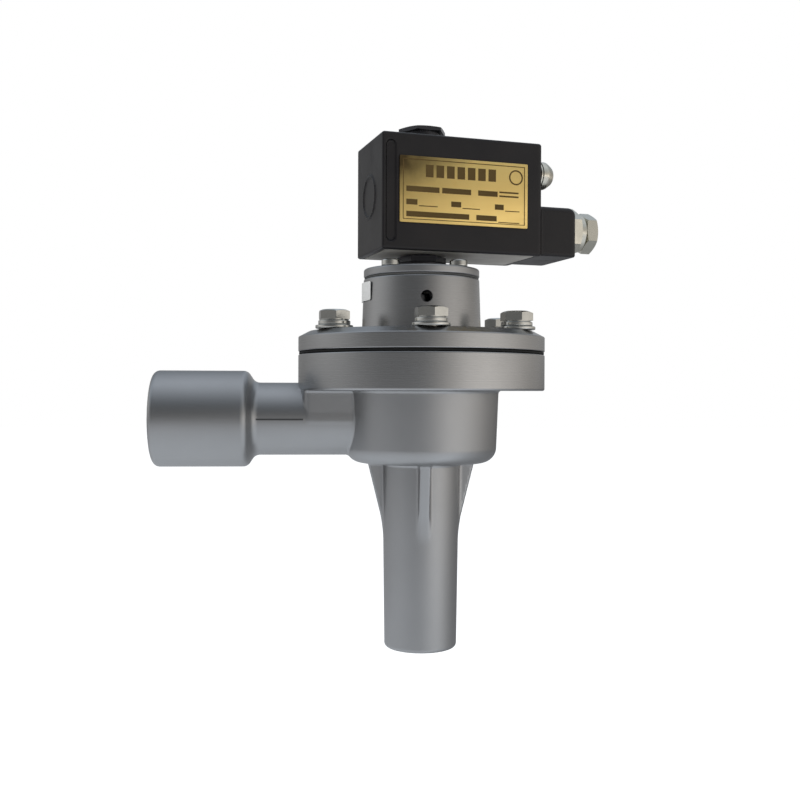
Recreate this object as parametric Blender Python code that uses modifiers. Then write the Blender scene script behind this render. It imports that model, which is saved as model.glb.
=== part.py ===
"""Right-angle pulse valve of a dust collector, with its flameproof pilot coil.

Compressed air enters the threaded socket, fills the bowl round the outlet tube and holds the main
diaphragm down on the tube's end. The coil lifts the plunger, the pilot diaphragm opens, the air
above the main diaphragm leaves by the vent hole, and the diaphragm opens the outlet.

The origin is the centre of the outlet tube's end face. +Z runs up the valve's axis, the inlet
socket points to -X and the vent hole to -Y. Lengths are in metres, and MM turns millimetres into
them.
"""
import math

import bmesh
import bpy
from mathutils import Matrix, Vector

MM = 0.001

# Fits
CLAMP_GAP = 0.2 * MM
RUN_GAP = 0.3 * MM
OVERCUT = 1.0 * MM

# Facets of round shapes
CASTING_STEPS = 44
BORE_STEPS = 20
SMALL_STEPS = 16
WASHER_STEPS = 14
HOLE_STEPS = 10
WIRE_STEPS = 9
FILLET_FACET = 2.2 * MM
FILLET_MOST_STEPS = 4
CUTTER_PHASE = 0.2
SMOOTH_ANGLE = math.radians(38.0)

# Outlet tube and its ribs
OUTLET_LENGTH = 82.5 * MM
OUTLET_TIP_R = 16.1 * MM
OUTLET_ROOT_R = 17.2 * MM
OUTLET_BORE_R = 12.7 * MM
OUTLET_EDGE_R = 1.6 * MM
OUTLET_FILLET_R = 1.5 * MM
RIB_COUNT = 4
RIB_WIDTH = 4.8 * MM
RIB_REACH = 6.7 * MM
RIB_DROP = 27.0 * MM

# Bowl, seat and body flange
BOWL_HEIGHT = 31.9 * MM
BOWL_FLOOR_R = 33.4 * MM
BOWL_TOP_R = 34.6 * MM
BOWL_CORNER_R = 6.5 * MM
BOWL_FILLET_R = 1.2 * MM
BOWL_WALL = 4.0 * MM
FLANGE_R = 54.8 * MM
FLANGE_EDGE_R = 0.5 * MM
BODY_FLANGE_THICK = 15.7 * MM
SEAT_DEPTH = 8.6 * MM
SEAT_CHAMFER = 1.6 * MM

# Inlet
INLET_BORE_R = 12.7 * MM
INLET_PIPE_R = 16.0 * MM
SOCKET_R = 21.2 * MM
SOCKET_REACH = 118.0 * MM
SOCKET_LENGTH = 41.0 * MM
SOCKET_EDGE_R = 2.8 * MM
SHOULDER_LENGTH = 3.4 * MM
SHOULDER_FILLET_R = 1.0 * MM
THREAD_R = 15.2 * MM
THREAD_DEPTH = 22.0 * MM
THREAD_CHAMFER = 1.4 * MM
BLOCK_LEDGE = 0.4 * MM
BLOCK_DRAFT = 0.7 * MM
INLET_BORE_RUN = 4.9 * MM

# Flange bolts and their washers
BOLT_COUNT = 6
BOLT_FIRST_ANGLE = math.radians(-90.0)
BOLT_EDGE_DISTANCE = 9.8 * MM
BOLT_CIRCLE_R = FLANGE_R - BOLT_EDGE_DISTANCE
BOLT_R = 3.9 * MM
BOLT_HEAD_ACROSS = 12.4 * MM
BOLT_HEAD_HEIGHT = 4.4 * MM
BOLT_HEAD_TURNS = [math.radians(turn) for turn in (30.0, 34.5, 8.0, 50.0, 20.0, 30.0)]
BOLT_HEAD_CROWN_R = 5.1 * MM
BOLT_HEAD_CHAMFER_DROP = 1.0 * MM
BOLT_TIP_INSET = 1.5 * MM
BOLT_HOLE_PLAY = 0.6 * MM
FLAT_WASHER_R = 8.0 * MM
FLAT_WASHER_THICK = 1.4 * MM
SPRING_WASHER_R = 6.8 * MM
SPRING_WASHER_THICK = 1.8 * MM
SPRING_WASHER_SLIT = 1.2 * MM

# Main diaphragm, the chamber round it and the hub that it carries
CHAMBER_TO_BOLTS = 8.0 * MM
CHAMBER_R = BOLT_CIRCLE_R - CHAMBER_TO_BOLTS
DIAPHRAGM_THICK = 1.0 * MM
DIAPHRAGM_RIM_INSET = 0.3 * MM
SEAT_DISC_R = 19.6 * MM
SEAT_DISC_THICK = 2.4 * MM
BACKING_PLATE_R = 20.0 * MM
BACKING_PLATE_THICK = 2.0 * MM
HUB_SCREW_R = 3.0 * MM
HUB_HEAD_R = 5.2 * MM
HUB_HEAD_HEIGHT = 3.4 * MM
HUB_NUT_ACROSS = 10.0 * MM
HUB_NUT_HEIGHT = 4.6 * MM
HUB_TIP_LENGTH = 1.2 * MM
HUB_TIP_FILLET_R = 0.4 * MM
HUB_HEAD_FILLET_R = 1.2 * MM

# Bonnet
BONNET_FLANGE_THICK = 8.8 * MM
BONNET_CHAMFER_WIDTH = 4.6 * MM
BONNET_CHAMFER_DROP = 2.4 * MM
CHAMBER_STEP = 1.5 * MM
CHAMBER_HEIGHT = 6.0 * MM
CHAMBER_ROOF_R = 23.0 * MM
SPRING_POCKET_R = 11.6 * MM
SPRING_POCKET_HEIGHT = 16.0 * MM
TURRET_BASE_R = 26.6 * MM
TURRET_TOP_R = 25.8 * MM
TURRET_HEIGHT = 23.3 * MM
TURRET_FILLET_R = 1.5 * MM
COVER_SCREW_EDGE_DISTANCE = 4.9 * MM
COVER_SCREW_CIRCLE_R = TURRET_TOP_R - COVER_SCREW_EDGE_DISTANCE
VENT_CHAMBER_TO_SCREWS = 3.4 * MM
VENT_CHAMBER_R = COVER_SCREW_CIRCLE_R - VENT_CHAMBER_TO_SCREWS
VENT_CHAMBER_DEPTH = 12.0 * MM
VENT_HOLE_R = 2.4 * MM
VENT_HOLE_DROP = 9.1 * MM
NOZZLE_R = 7.5 * MM
NOZZLE_BORE_R = 4.5 * MM
NOZZLE_DROP = 6.6 * MM
STICKER_WIDTH = 17.0 * MM
STICKER_HEIGHT = 8.2 * MM
STICKER_THICK = 0.25 * MM
STICKER_DROP = 6.0 * MM
STICKER_CENTRE = math.radians(-170.0)
STICKER_STEPS = 8

# Main spring
MAIN_WIRE_R = 0.9 * MM
MAIN_COIL_R = 9.0 * MM
MAIN_TURNS = 5

# Rise of every spring's closed end turns, in wire radii
END_TURN_RISE = 2.3

# Pilot diaphragm, its hub and its spring
PILOT_DIAPHRAGM_THICK = 0.8 * MM
PILOT_DISC_R = 8.8 * MM
PILOT_DISC_THICK = 1.0 * MM
PILOT_PLATE_R = 8.2 * MM
PILOT_PLATE_THICK = 1.0 * MM
RIVET_R = 1.4 * MM
RIVET_HEAD_R = 2.8 * MM
RIVET_HEAD_HEIGHT = 0.9 * MM
RIVET_FILLET_R = 0.3 * MM
PILOT_WIRE_R = 0.3 * MM
PILOT_COIL_R = 4.6 * MM
PILOT_TURNS = 3

# Pilot cover and its screws
COVER_THICK = 3.4 * MM
COVER_EDGE_R = 0.5 * MM
COVER_SCREW_COUNT = 4
COVER_SCREW_FIRST_ANGLE = math.radians(-135.0)
COVER_SCREW_R = 1.9 * MM
COVER_SCREW_DEPTH = 9.0 * MM
COVER_SCREW_HEAD_R = 3.9 * MM
COVER_SCREW_HEAD_HEIGHT = 2.8 * MM
COVER_SCREW_FILLET_R = 0.5 * MM
COVER_SLOT_WIDTH = 1.0 * MM
COVER_SLOT_DEPTH = 1.1 * MM
PILOT_ORIFICE_R = 1.1 * MM
PILOT_BOSS_R = 2.6 * MM
PILOT_BOSS_DROP = 0.5 * MM
SPIGOT_R = 6.0 * MM
SPIGOT_LENGTH = 1.8 * MM

# Armature tube, its seal and the cap nut
TUBE_BASE_R = 11.3 * MM
TUBE_BASE_THICK = 2.8 * MM
TUBE_HEX_ACROSS = 19.0 * MM
TUBE_HEX_HEIGHT = 2.9 * MM
TUBE_HEX_CORE_R = 8.5 * MM
TUBE_HEX_CORE_DROP = 1.0 * MM
TUBE_BASE_EDGE_R = 0.5 * MM
TUBE_HEAD_EDGE_R = 0.6 * MM
TUBE_R = 6.75 * MM
TUBE_BORE_R = 4.7 * MM
STUD_R = 3.9 * MM
STUD_LENGTH = 6.8 * MM
STUD_EDGE_R = 0.5 * MM
SEAL_CORD_R = 0.6 * MM
CAP_WASHER_R = 8.4 * MM
CAP_WASHER_THICK = 0.8 * MM
CAP_NECK_R = 8.2 * MM
CAP_NECK_HEIGHT = 2.0 * MM
CAP_HEX_ACROSS = 19.0 * MM
CAP_HEX_HEIGHT = 3.2 * MM
CAP_EDGE_R = 0.5 * MM

# Plunger, its seal and its spring
PLUNGER_R = 4.4 * MM
PLUNGER_LENGTH = 27.0 * MM
PLUNGER_LIFT = 2.0 * MM
PLUNGER_EDGE_R = 0.4 * MM
PLUNGER_SEAL_R = 2.7 * MM
PLUNGER_SEAL_THICK = 2.0 * MM
PLUNGER_SEAL_PROUD = 0.8 * MM
PLUNGER_WELL_R = 3.1 * MM
PLUNGER_WELL_DEPTH = 10.0 * MM
PLUNGER_WIRE_R = 0.3 * MM
PLUNGER_COIL_R = 2.3 * MM
PLUNGER_TURNS = 5

# Coil housing
COIL_TURN = math.radians(14.0)
HOUSING_LENGTH = 74.4 * MM
HOUSING_DEPTH = 39.2 * MM
HOUSING_HEIGHT = 49.8 * MM
HOUSING_WALL = 2.6 * MM
HOUSING_STEM_OFFSET = 24.4 * MM
HOUSING_CORNER_R = 2.0 * MM
HOUSING_EDGE_R = 0.7 * MM
END_RING_R = 9.5 * MM
END_RING_WIDTH = 1.0 * MM
END_RING_PROUD = 0.5 * MM
GROOVE_PLACE = 3.9 * MM
GROOVE_WIDTH = 4.2 * MM
GROOVE_LENGTH = 43.0 * MM
GROOVE_DEPTH = 0.8 * MM
BASE_PLATE_THICK = 2.8 * MM

# Cable entry and gland
ENTRY_LENGTH = 18.2 * MM
ENTRY_DEPTH = 35.0 * MM
ENTRY_HEIGHT = 22.8 * MM
ENTRY_FOOT_STEP = 0.5 * MM
ENTRY_CORNER_R = 3.6 * MM
ENTRY_FOOT_CORNER_R = 1.7 * MM
GLAND_HEIGHT = 14.2 * MM
GLAND_THREAD_R = 6.4 * MM
GLAND_BORE_R = 4.8 * MM
GLAND_POCKET_R = 7.2 * MM
GLAND_HEX_ACROSS = 20.8 * MM
GLAND_HEX_LENGTH = 7.0 * MM
GLAND_HEX_RECESS = 1.0 * MM
GLAND_COLLAR_R = 9.2 * MM
GLAND_COLLAR_LENGTH = 2.6 * MM
GLAND_NUT_ACROSS = 18.4 * MM
GLAND_NUT_LENGTH = 6.2 * MM
GLAND_SEAL_LENGTH = 5.6 * MM
GLAND_SEAL_BORE_R = 4.4 * MM
GLAND_RING_THICK = 1.0 * MM
GLAND_EDGE_R = 0.5 * MM
GLAND_NUT_CROWN_R = 7.6 * MM
GLAND_NUT_CHAMFER = 1.6 * MM

# Nameplate and earth screw
PLATE_LENGTH = 59.3 * MM
PLATE_HEIGHT = 28.4 * MM
PLATE_THICK = 0.6 * MM
PLATE_CORNER_R = 0.8 * MM
PLATE_START = 7.5 * MM
PLATE_DROP = 9.9 * MM
EARTH_HEIGHT = 37.0 * MM
EARTH_PLACE = -12.4 * MM
EARTH_HEAD_R = 6.2 * MM
EARTH_HEAD_HEIGHT = 6.4 * MM
EARTH_RIM_HEIGHT = 2.6 * MM
EARTH_RIM_FILLET_R = 2.0 * MM
EARTH_CROWN_R = 3.4 * MM
EARTH_CROWN_FILLET_R = 3.2 * MM
EARTH_SCREW_R = 2.0 * MM
EARTH_WASHER_R = 6.0 * MM
EARTH_WASHER_THICK = 0.8 * MM

# Winding, its bobbin, the iron yoke and the terminal block
BOBBIN_R = 15.4 * MM
BOBBIN_WALL = 1.5 * MM
WINDING_R = 14.6 * MM
YOKE_THICK = 3.0 * MM
YOKE_DEPTH = 24.0 * MM
YOKE_BEND_R = 2.4 * MM
TERMINAL_LENGTH = 14.0 * MM
TERMINAL_DEPTH = 22.0 * MM
TERMINAL_HEIGHT = 12.0 * MM
TERMINAL_WELL_R = 2.2 * MM
TERMINAL_WELL_DEPTH = 8.0 * MM

# Heights that follow from the sizes above
FLANGE_UNDER_Z = OUTLET_LENGTH + BOWL_HEIGHT
FLANGE_TOP_Z = FLANGE_UNDER_Z + BODY_FLANGE_THICK
SEAT_Z = FLANGE_TOP_Z - SEAT_DEPTH
INLET_Z = FLANGE_UNDER_Z - INLET_BORE_R
RIM_Z = FLANGE_TOP_Z + CLAMP_GAP
BONNET_Z = RIM_Z + DIAPHRAGM_THICK + CLAMP_GAP
BONNET_TOP_Z = BONNET_Z + BONNET_FLANGE_THICK
TURRET_TOP_Z = BONNET_TOP_Z + TURRET_HEIGHT
SEAT_DISC_Z = SEAT_Z + RUN_GAP
DISH_Z = SEAT_DISC_Z + SEAT_DISC_THICK + CLAMP_GAP
BACKING_PLATE_Z = DISH_Z + DIAPHRAGM_THICK + CLAMP_GAP
HUB_TOP_Z = BACKING_PLATE_Z + BACKING_PLATE_THICK + CLAMP_GAP
SPRING_POCKET_Z = BONNET_Z + SPRING_POCKET_HEIGHT
PILOT_SEAT_Z = TURRET_TOP_Z - NOZZLE_DROP
PILOT_RIM_Z = TURRET_TOP_Z + CLAMP_GAP
PILOT_DISC_Z = PILOT_SEAT_Z + RUN_GAP
PILOT_DISH_Z = PILOT_DISC_Z + PILOT_DISC_THICK + CLAMP_GAP
PILOT_PLATE_Z = PILOT_DISH_Z + PILOT_DIAPHRAGM_THICK + CLAMP_GAP
PILOT_HUB_TOP_Z = PILOT_PLATE_Z + PILOT_PLATE_THICK + CLAMP_GAP
COVER_Z = PILOT_RIM_Z + PILOT_DIAPHRAGM_THICK + CLAMP_GAP
COVER_TOP_Z = COVER_Z + COVER_THICK
TUBE_BASE_Z = COVER_TOP_Z + CLAMP_GAP
TUBE_HEX_TOP_Z = TUBE_BASE_Z + TUBE_BASE_THICK + TUBE_HEX_HEIGHT
HOUSING_Z = TUBE_HEX_TOP_Z + RUN_GAP
HOUSING_TOP_Z = HOUSING_Z + HOUSING_HEIGHT
PLUNGER_SEAL_Z = COVER_TOP_Z - PILOT_BOSS_DROP + RUN_GAP
PLUNGER_Z = PLUNGER_SEAL_Z + PLUNGER_SEAL_PROUD
PLUNGER_TOP_Z = PLUNGER_Z + PLUNGER_LENGTH
CORE_Z = PLUNGER_TOP_Z + PLUNGER_LIFT + RUN_GAP
HOUSING_ROOF_Z = HOUSING_TOP_Z - HOUSING_WALL
CAVITY_FLOOR_Z = HOUSING_Z + BASE_PLATE_THICK + CLAMP_GAP
YOKE_TOP_Z = HOUSING_ROOF_Z - CLAMP_GAP
STUD_TOP_Z = HOUSING_ROOF_Z + STUD_LENGTH
GLAND_Z = HOUSING_Z + GLAND_HEIGHT
HOUSING_LEFT_X = -HOUSING_STEM_OFFSET
HOUSING_RIGHT_X = HOUSING_LEFT_X + HOUSING_LENGTH
ENTRY_END_X = HOUSING_RIGHT_X + ENTRY_LENGTH

FINISHES = {
    "cast_aluminium": ((0.42, 0.43, 0.45), 0.42, 1.0),
    "zinc_plated_steel": ((0.72, 0.72, 0.68), 0.30, 1.0),
    "spring_steel": ((0.45, 0.46, 0.48), 0.35, 1.0),
    "black_rubber": ((0.02, 0.02, 0.02), 0.75, 0.0),
    "black_enamel": ((0.025, 0.025, 0.028), 0.30, 0.0),
    "black_oxide_steel": ((0.05, 0.05, 0.055), 0.28, 1.0),
    "stainless_steel": ((0.60, 0.60, 0.60), 0.28, 1.0),
    "nickel_plated_brass": ((0.78, 0.77, 0.73), 0.22, 1.0),
    "etched_brass": ((0.72, 0.55, 0.24), 0.38, 1.0),
    "white_label": ((0.85, 0.85, 0.83), 0.55, 0.0),
    "potting_resin": ((0.30, 0.28, 0.25), 0.50, 0.0),
    "nylon": ((0.72, 0.70, 0.62), 0.50, 0.0),
    "copper_wire": ((0.62, 0.26, 0.12), 0.35, 1.0),
    "soft_iron": ((0.35, 0.36, 0.38), 0.40, 1.0),
}


def clear_scene():
    """Removes whatever the scene holds."""
    for obj in list(bpy.data.objects):
        bpy.data.objects.remove(obj, do_unlink=True)


def new_collection(name):
    """Returns a new collection under the scene."""
    collection = bpy.data.collections.new(name)
    bpy.context.scene.collection.children.link(collection)
    return collection


def finish(name):
    """Returns the material of one finish, made at its first use."""
    material = bpy.data.materials.get(name)
    if material:
        return material
    colour, roughness, metallic = FINISHES[name]
    material = bpy.data.materials.new(name)
    material.use_nodes = True
    shader = material.node_tree.nodes["Principled BSDF"]
    shader.inputs["Base Color"].default_value = (*colour, 1.0)
    shader.inputs["Roughness"].default_value = roughness
    shader.inputs["Metallic"].default_value = metallic
    return material


def add_object(name, data, finish_name=None, parent=None):
    """Links a new object. One with a finish is a piece of the valve, and any other is a cutter."""
    obj = bpy.data.objects.new(name, data)
    if finish_name:
        bpy.data.collections["pulse_valve"].objects.link(obj)
        if not data.materials:
            data.materials.append(finish(finish_name))
    else:
        bpy.data.collections["cutters"].objects.link(obj)
        obj.hide_render = True
        obj.display_type = "WIRE"
    obj.parent = parent
    return obj


def joint_axis(name, turn=0.0):
    """Returns an empty on the valve's axis, the parent of the pieces that move together on it."""
    axis = bpy.data.objects.new(name, None)
    bpy.data.collections["pulse_valve"].objects.link(axis)
    axis.rotation_euler.z = turn
    return axis


def filleted(corners):
    """Returns the outline through (x, y, radius) corners, with each radius drawn as an arc."""
    outline = []
    for index, (x, y, radius) in enumerate(corners):
        corner = Vector((x, y))
        if radius <= 0.0:
            outline.append(corner)
            continue
        to_last = Vector(corners[index - 1][:2]) - corner
        to_next = Vector(corners[(index + 1) % len(corners)][:2]) - corner
        half_angle = to_last.angle(to_next) / 2
        reach = min(radius / math.tan(half_angle), 0.45 * to_last.length, 0.45 * to_next.length)
        centre_line = (to_last.normalized() + to_next.normalized()).normalized()
        centre = corner + centre_line * (reach / math.cos(half_angle))
        start = corner + to_last.normalized() * reach - centre
        end = corner + to_next.normalized() * reach - centre
        sweep = math.atan2(start.x * end.y - start.y * end.x, start.dot(end))
        facets = math.ceil(abs(sweep) * start.length / FILLET_FACET)
        steps = min(max(facets, 1), FILLET_MOST_STEPS)
        for step in range(steps + 1):
            turn = Matrix.Rotation(sweep * step / steps, 2)
            outline.append(centre + turn @ start)
    return outline


def facet_phase(finish_name, steps):
    """Returns the angle of the first facet: a cutter's facets start between those of its piece."""
    return 0.0 if finish_name else CUTTER_PHASE * math.tau / steps


def turned(name, corners, finish_name=None, steps=SMALL_STEPS, parent=None):
    """Turns (radius, height, fillet) corners about Z. They run down the outer side and back up."""
    outline = filleted(corners)
    phase = facet_phase(finish_name, steps)
    on_axis = corners[0][0] == 0.0 and corners[-1][0] == 0.0
    last = len(outline) - 1
    edges = [(index, index + 1) for index in range(last)]
    if not on_axis:
        edges.append((last, 0))
    mesh = bpy.data.meshes.new(name)
    mesh.from_pydata([on_circle(point.x, phase, point.y) for point in outline], edges, [])
    obj = add_object(name, mesh, finish_name, parent)
    screw = obj.modifiers.new("turn", "SCREW")
    screw.axis = "Z"
    screw.angle = math.tau
    screw.steps = steps
    screw.render_steps = steps
    screw.use_merge_vertices = True
    screw.merge_threshold = 0.001 * MM
    return obj


def cylinder(name, radius, low, high, finish_name=None, steps=SMALL_STEPS, parent=None):
    """Returns an upright cylinder between two heights."""
    phase = facet_phase(finish_name, steps)
    return rod(name, radius, radius, low, high, finish_name, steps, parent, phase)


def rod(name, low_radius, high_radius, low, high, finish_name=None, steps=SMALL_STEPS, parent=None,
        phase=0.0):
    """Returns an upright cone, cylinder or prism between two heights."""
    shape = bmesh.new()
    place = Matrix.Translation((0.0, 0.0, (low + high) / 2)) @ Matrix.Rotation(phase, 4, "Z")
    bmesh.ops.create_cone(shape, cap_ends=True, segments=steps, radius1=low_radius,
                          radius2=high_radius, depth=high - low, matrix=place)
    return bmesh_object(name, shape, finish_name, parent)


def hexagon(name, across_flats, low, high, finish_name=None, parent=None):
    """Returns an upright hexagonal prism with a corner at +Y."""
    corner_r = across_flats / math.sqrt(3.0)
    return rod(name, corner_r, corner_r, low, high, finish_name, 6, parent)


def block(name, low, high, finish_name=None, parent=None):
    """Returns a box between its lowest and highest corners."""
    shape = bmesh.new()
    low = Vector(low)
    size = Vector(high) - low
    place = Matrix.Translation(low + size / 2) @ Matrix.Diagonal((*size, 1.0))
    bmesh.ops.create_cube(shape, size=1.0, matrix=place)
    return bmesh_object(name, shape, finish_name, parent)


def bmesh_object(name, shape, finish_name, parent):
    """Writes a bmesh to a new object and frees it."""
    mesh = bpy.data.meshes.new(name)
    shape.to_mesh(mesh)
    shape.free()
    return add_object(name, mesh, finish_name, parent)


def prism(name, corners, low, high, finish_name=None, parent=None):
    """Extrudes an outline of (x, y, radius) corners between two heights."""
    curve = bpy.data.curves.new(name, "CURVE")
    curve.dimensions = "2D"
    curve.fill_mode = "BOTH"
    curve.extrude = (high - low) / 2
    outline = filleted(corners)
    spline = curve.splines.new("POLY")
    spline.points.add(len(outline) - 1)
    for point, place in zip(spline.points, outline):
        point.co = (place.x, place.y, 0.0, 1.0)
    spline.use_cyclic_u = True
    mesh = mesh_of_curve(name, curve)
    mesh.transform(Matrix.Translation((0.0, 0.0, (low + high) / 2)))
    return add_object(name, mesh, finish_name, parent)


def mesh_of_curve(name, curve):
    """Returns the welded mesh of a curve with filled caps, and removes the curve."""
    holder = bpy.data.objects.new(name, curve)
    bpy.context.scene.collection.objects.link(holder)
    evaluated = holder.evaluated_get(bpy.context.evaluated_depsgraph_get())
    mesh = bpy.data.meshes.new_from_object(evaluated)
    bpy.data.objects.remove(holder)
    bpy.data.curves.remove(curve)
    shape = bmesh.new()
    shape.from_mesh(mesh)
    bmesh.ops.remove_doubles(shape, verts=shape.verts, dist=0.001 * MM)
    bmesh.ops.recalc_face_normals(shape, faces=shape.faces)
    shape.to_mesh(mesh)
    shape.free()
    mesh.name = name
    return mesh


def coil_spring(name, coil_r, wire_r, low, high, turns):
    """Returns a wire coil with closed end turns that stands between two heights."""
    curve = bpy.data.curves.new(name, "CURVE")
    curve.dimensions = "3D"
    curve.bevel_depth = wire_r
    curve.bevel_resolution = 1
    curve.use_fill_caps = True
    count = turns * WIRE_STEPS + 1
    end_rise = END_TURN_RISE * wire_r
    body_rise = (high - low - 2 * wire_r - 2 * end_rise) / (turns - 2)
    spline = curve.splines.new("POLY")
    spline.points.add(count - 1)
    for index, point in enumerate(spline.points):
        turn = index / WIRE_STEPS
        rise = end_rise * min(turn, 1.0)
        rise += body_rise * min(max(turn - 1.0, 0.0), turns - 2.0)
        rise += end_rise * max(turn - turns + 1.0, 0.0)
        angle = math.tau * turn
        place = (coil_r * math.cos(angle), coil_r * math.sin(angle), low + wire_r + rise)
        point.co = (*place, 1.0)
    mesh = mesh_of_curve(name, curve)
    return add_object(name, mesh, "spring_steel")


def combine(target, operand, operation):
    """Adds a Boolean of the named operation to the target."""
    modifier = target.modifiers.new(operand.name, "BOOLEAN")
    modifier.operation = operation
    modifier.solver = "EXACT"
    modifier.object = operand


def cut(target, *cutters):
    """Cuts each cutter out of the target."""
    for cutter in cutters:
        combine(target, cutter, "DIFFERENCE")


def unite(target, *additions):
    """Joins each addition to the target."""
    for addition in additions:
        combine(target, addition, "UNION")


def round_edges(obj, radius):
    """Bevels the sharp edges of an object."""
    bevel = obj.modifiers.new("round edges", "BEVEL")
    bevel.width = radius
    bevel.segments = 1
    bevel.limit_method = "ANGLE"
    bevel.angle_limit = math.radians(50.0)


def evaluated_mesh(obj):
    """Returns a copy of an object's mesh with its modifiers applied."""
    evaluated = obj.evaluated_get(bpy.context.evaluated_depsgraph_get())
    return bpy.data.meshes.new_from_object(evaluated)


def on_circle(radius, angle, height=0.0):
    """Returns a place on a circle about the valve's axis."""
    return Vector((radius * math.cos(angle), radius * math.sin(angle), height))


def ring_angles(count, first):
    """Returns evenly spaced angles, from the first one."""
    return [first + math.tau * index / count for index in range(count)]


def place_copies(name, mesh, finish_name, radius, angles, turns=None):
    """Places one object for each angle on a circle, each turned further about its own axis."""
    for number, (angle, turn) in enumerate(zip(angles, turns or [0.0] * len(angles)), start=1):
        copy = add_object(f"{name}_{number}", mesh, finish_name)
        copy.location = on_circle(radius, angle)
        copy.rotation_euler.z = angle + turn


def cut_holes(target, name, hole_r, low, high, radius, angles):
    """Drills upright holes on a circle."""
    for number, angle in enumerate(angles, start=1):
        hole = cylinder(f"{name}_{number}", hole_r, low, high, steps=HOLE_STEPS)
        hole.location = on_circle(radius, angle)
        cut(target, hole)


def lay_along_x(obj, towards):
    """Turns an upright object so that its +Z points to -X or +X, as towards is -1 or 1."""
    obj.rotation_euler.y = towards * math.pi / 2


def bolt_angles():
    """Returns the angles of the flange bolts."""
    return ring_angles(BOLT_COUNT, BOLT_FIRST_ANGLE)


def cover_screw_angles():
    """Returns the angles of the pilot cover's screws."""
    return ring_angles(COVER_SCREW_COUNT, COVER_SCREW_FIRST_ANGLE)


def inlet_casting():
    """Returns the socket, its shoulder and the pipe, which runs into the bowl."""
    shoulder_x = SOCKET_REACH - SOCKET_LENGTH
    root_x = OUTLET_ROOT_R + BOWL_WALL
    casting = turned("inlet_casting", [
        (0.0, SOCKET_REACH, 0.0),
        (SOCKET_R, SOCKET_REACH, SOCKET_EDGE_R),
        (SOCKET_R, shoulder_x, SHOULDER_FILLET_R),
        (INLET_PIPE_R, shoulder_x - SHOULDER_LENGTH, SHOULDER_FILLET_R),
        (INLET_PIPE_R, root_x, 0.0),
        (0.0, root_x, 0.0),
    ], steps=BORE_STEPS)
    lay_along_x(casting, -1)
    casting.location.z = INLET_Z
    return casting


def inlet_bore():
    """Returns the cutter of the threaded socket and of the bore behind it."""
    thread_x = SOCKET_REACH - THREAD_DEPTH
    end_x = OUTLET_ROOT_R + INLET_BORE_RUN
    bore = turned("inlet_bore", [
        (0.0, SOCKET_REACH + OVERCUT, 0.0),
        (THREAD_R + THREAD_CHAMFER + OVERCUT, SOCKET_REACH + OVERCUT, 0.0),
        (THREAD_R, SOCKET_REACH - THREAD_CHAMFER, 0.0),
        (THREAD_R, thread_x, 0.0),
        (INLET_BORE_R, thread_x - (THREAD_R - INLET_BORE_R), 0.0),
        (INLET_BORE_R, end_x, 0.0),
        (0.0, end_x, 0.0),
    ], steps=BORE_STEPS)
    lay_along_x(bore, -1)
    bore.location.z = INLET_Z
    return bore


def inlet_block():
    """Returns the block with flat sides between the pipe's upper half and the flange."""
    half_width = INLET_PIPE_R + BLOCK_LEDGE
    top = FLANGE_UNDER_Z + OVERCUT
    sides = block("inlet_block", (-FLANGE_R - OVERCUT, -half_width, INLET_Z),
                  (-OUTLET_ROOT_R - BOWL_WALL, half_width, top))
    end = rod("inlet_block_end", FLANGE_R - BLOCK_DRAFT, FLANGE_R - FLANGE_EDGE_R,
              INLET_Z - OVERCUT, top + OVERCUT, steps=CASTING_STEPS)
    combine(sides, end, "INTERSECT")
    return sides


def outlet_rib(angle):
    """Returns one gusset between the outlet tube and the bowl's floor."""
    root = OUTLET_BORE_R + (OUTLET_TIP_R - OUTLET_BORE_R) / 2
    foot_z = OUTLET_LENGTH - RIB_DROP
    top_z = OUTLET_LENGTH + BOWL_WALL / 2
    slope = RIB_REACH / RIB_DROP
    rib = prism(f"outlet_rib_{round(math.degrees(angle))}", [
        (root, foot_z - (OUTLET_TIP_R - root) / slope, 0.0),
        (OUTLET_ROOT_R + slope * (top_z - foot_z), top_z, 0.0),
        (root, top_z, 0.0),
    ], -RIB_WIDTH / 2, RIB_WIDTH / 2)
    rib.rotation_euler = (math.pi / 2, 0.0, angle)
    return rib


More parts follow.
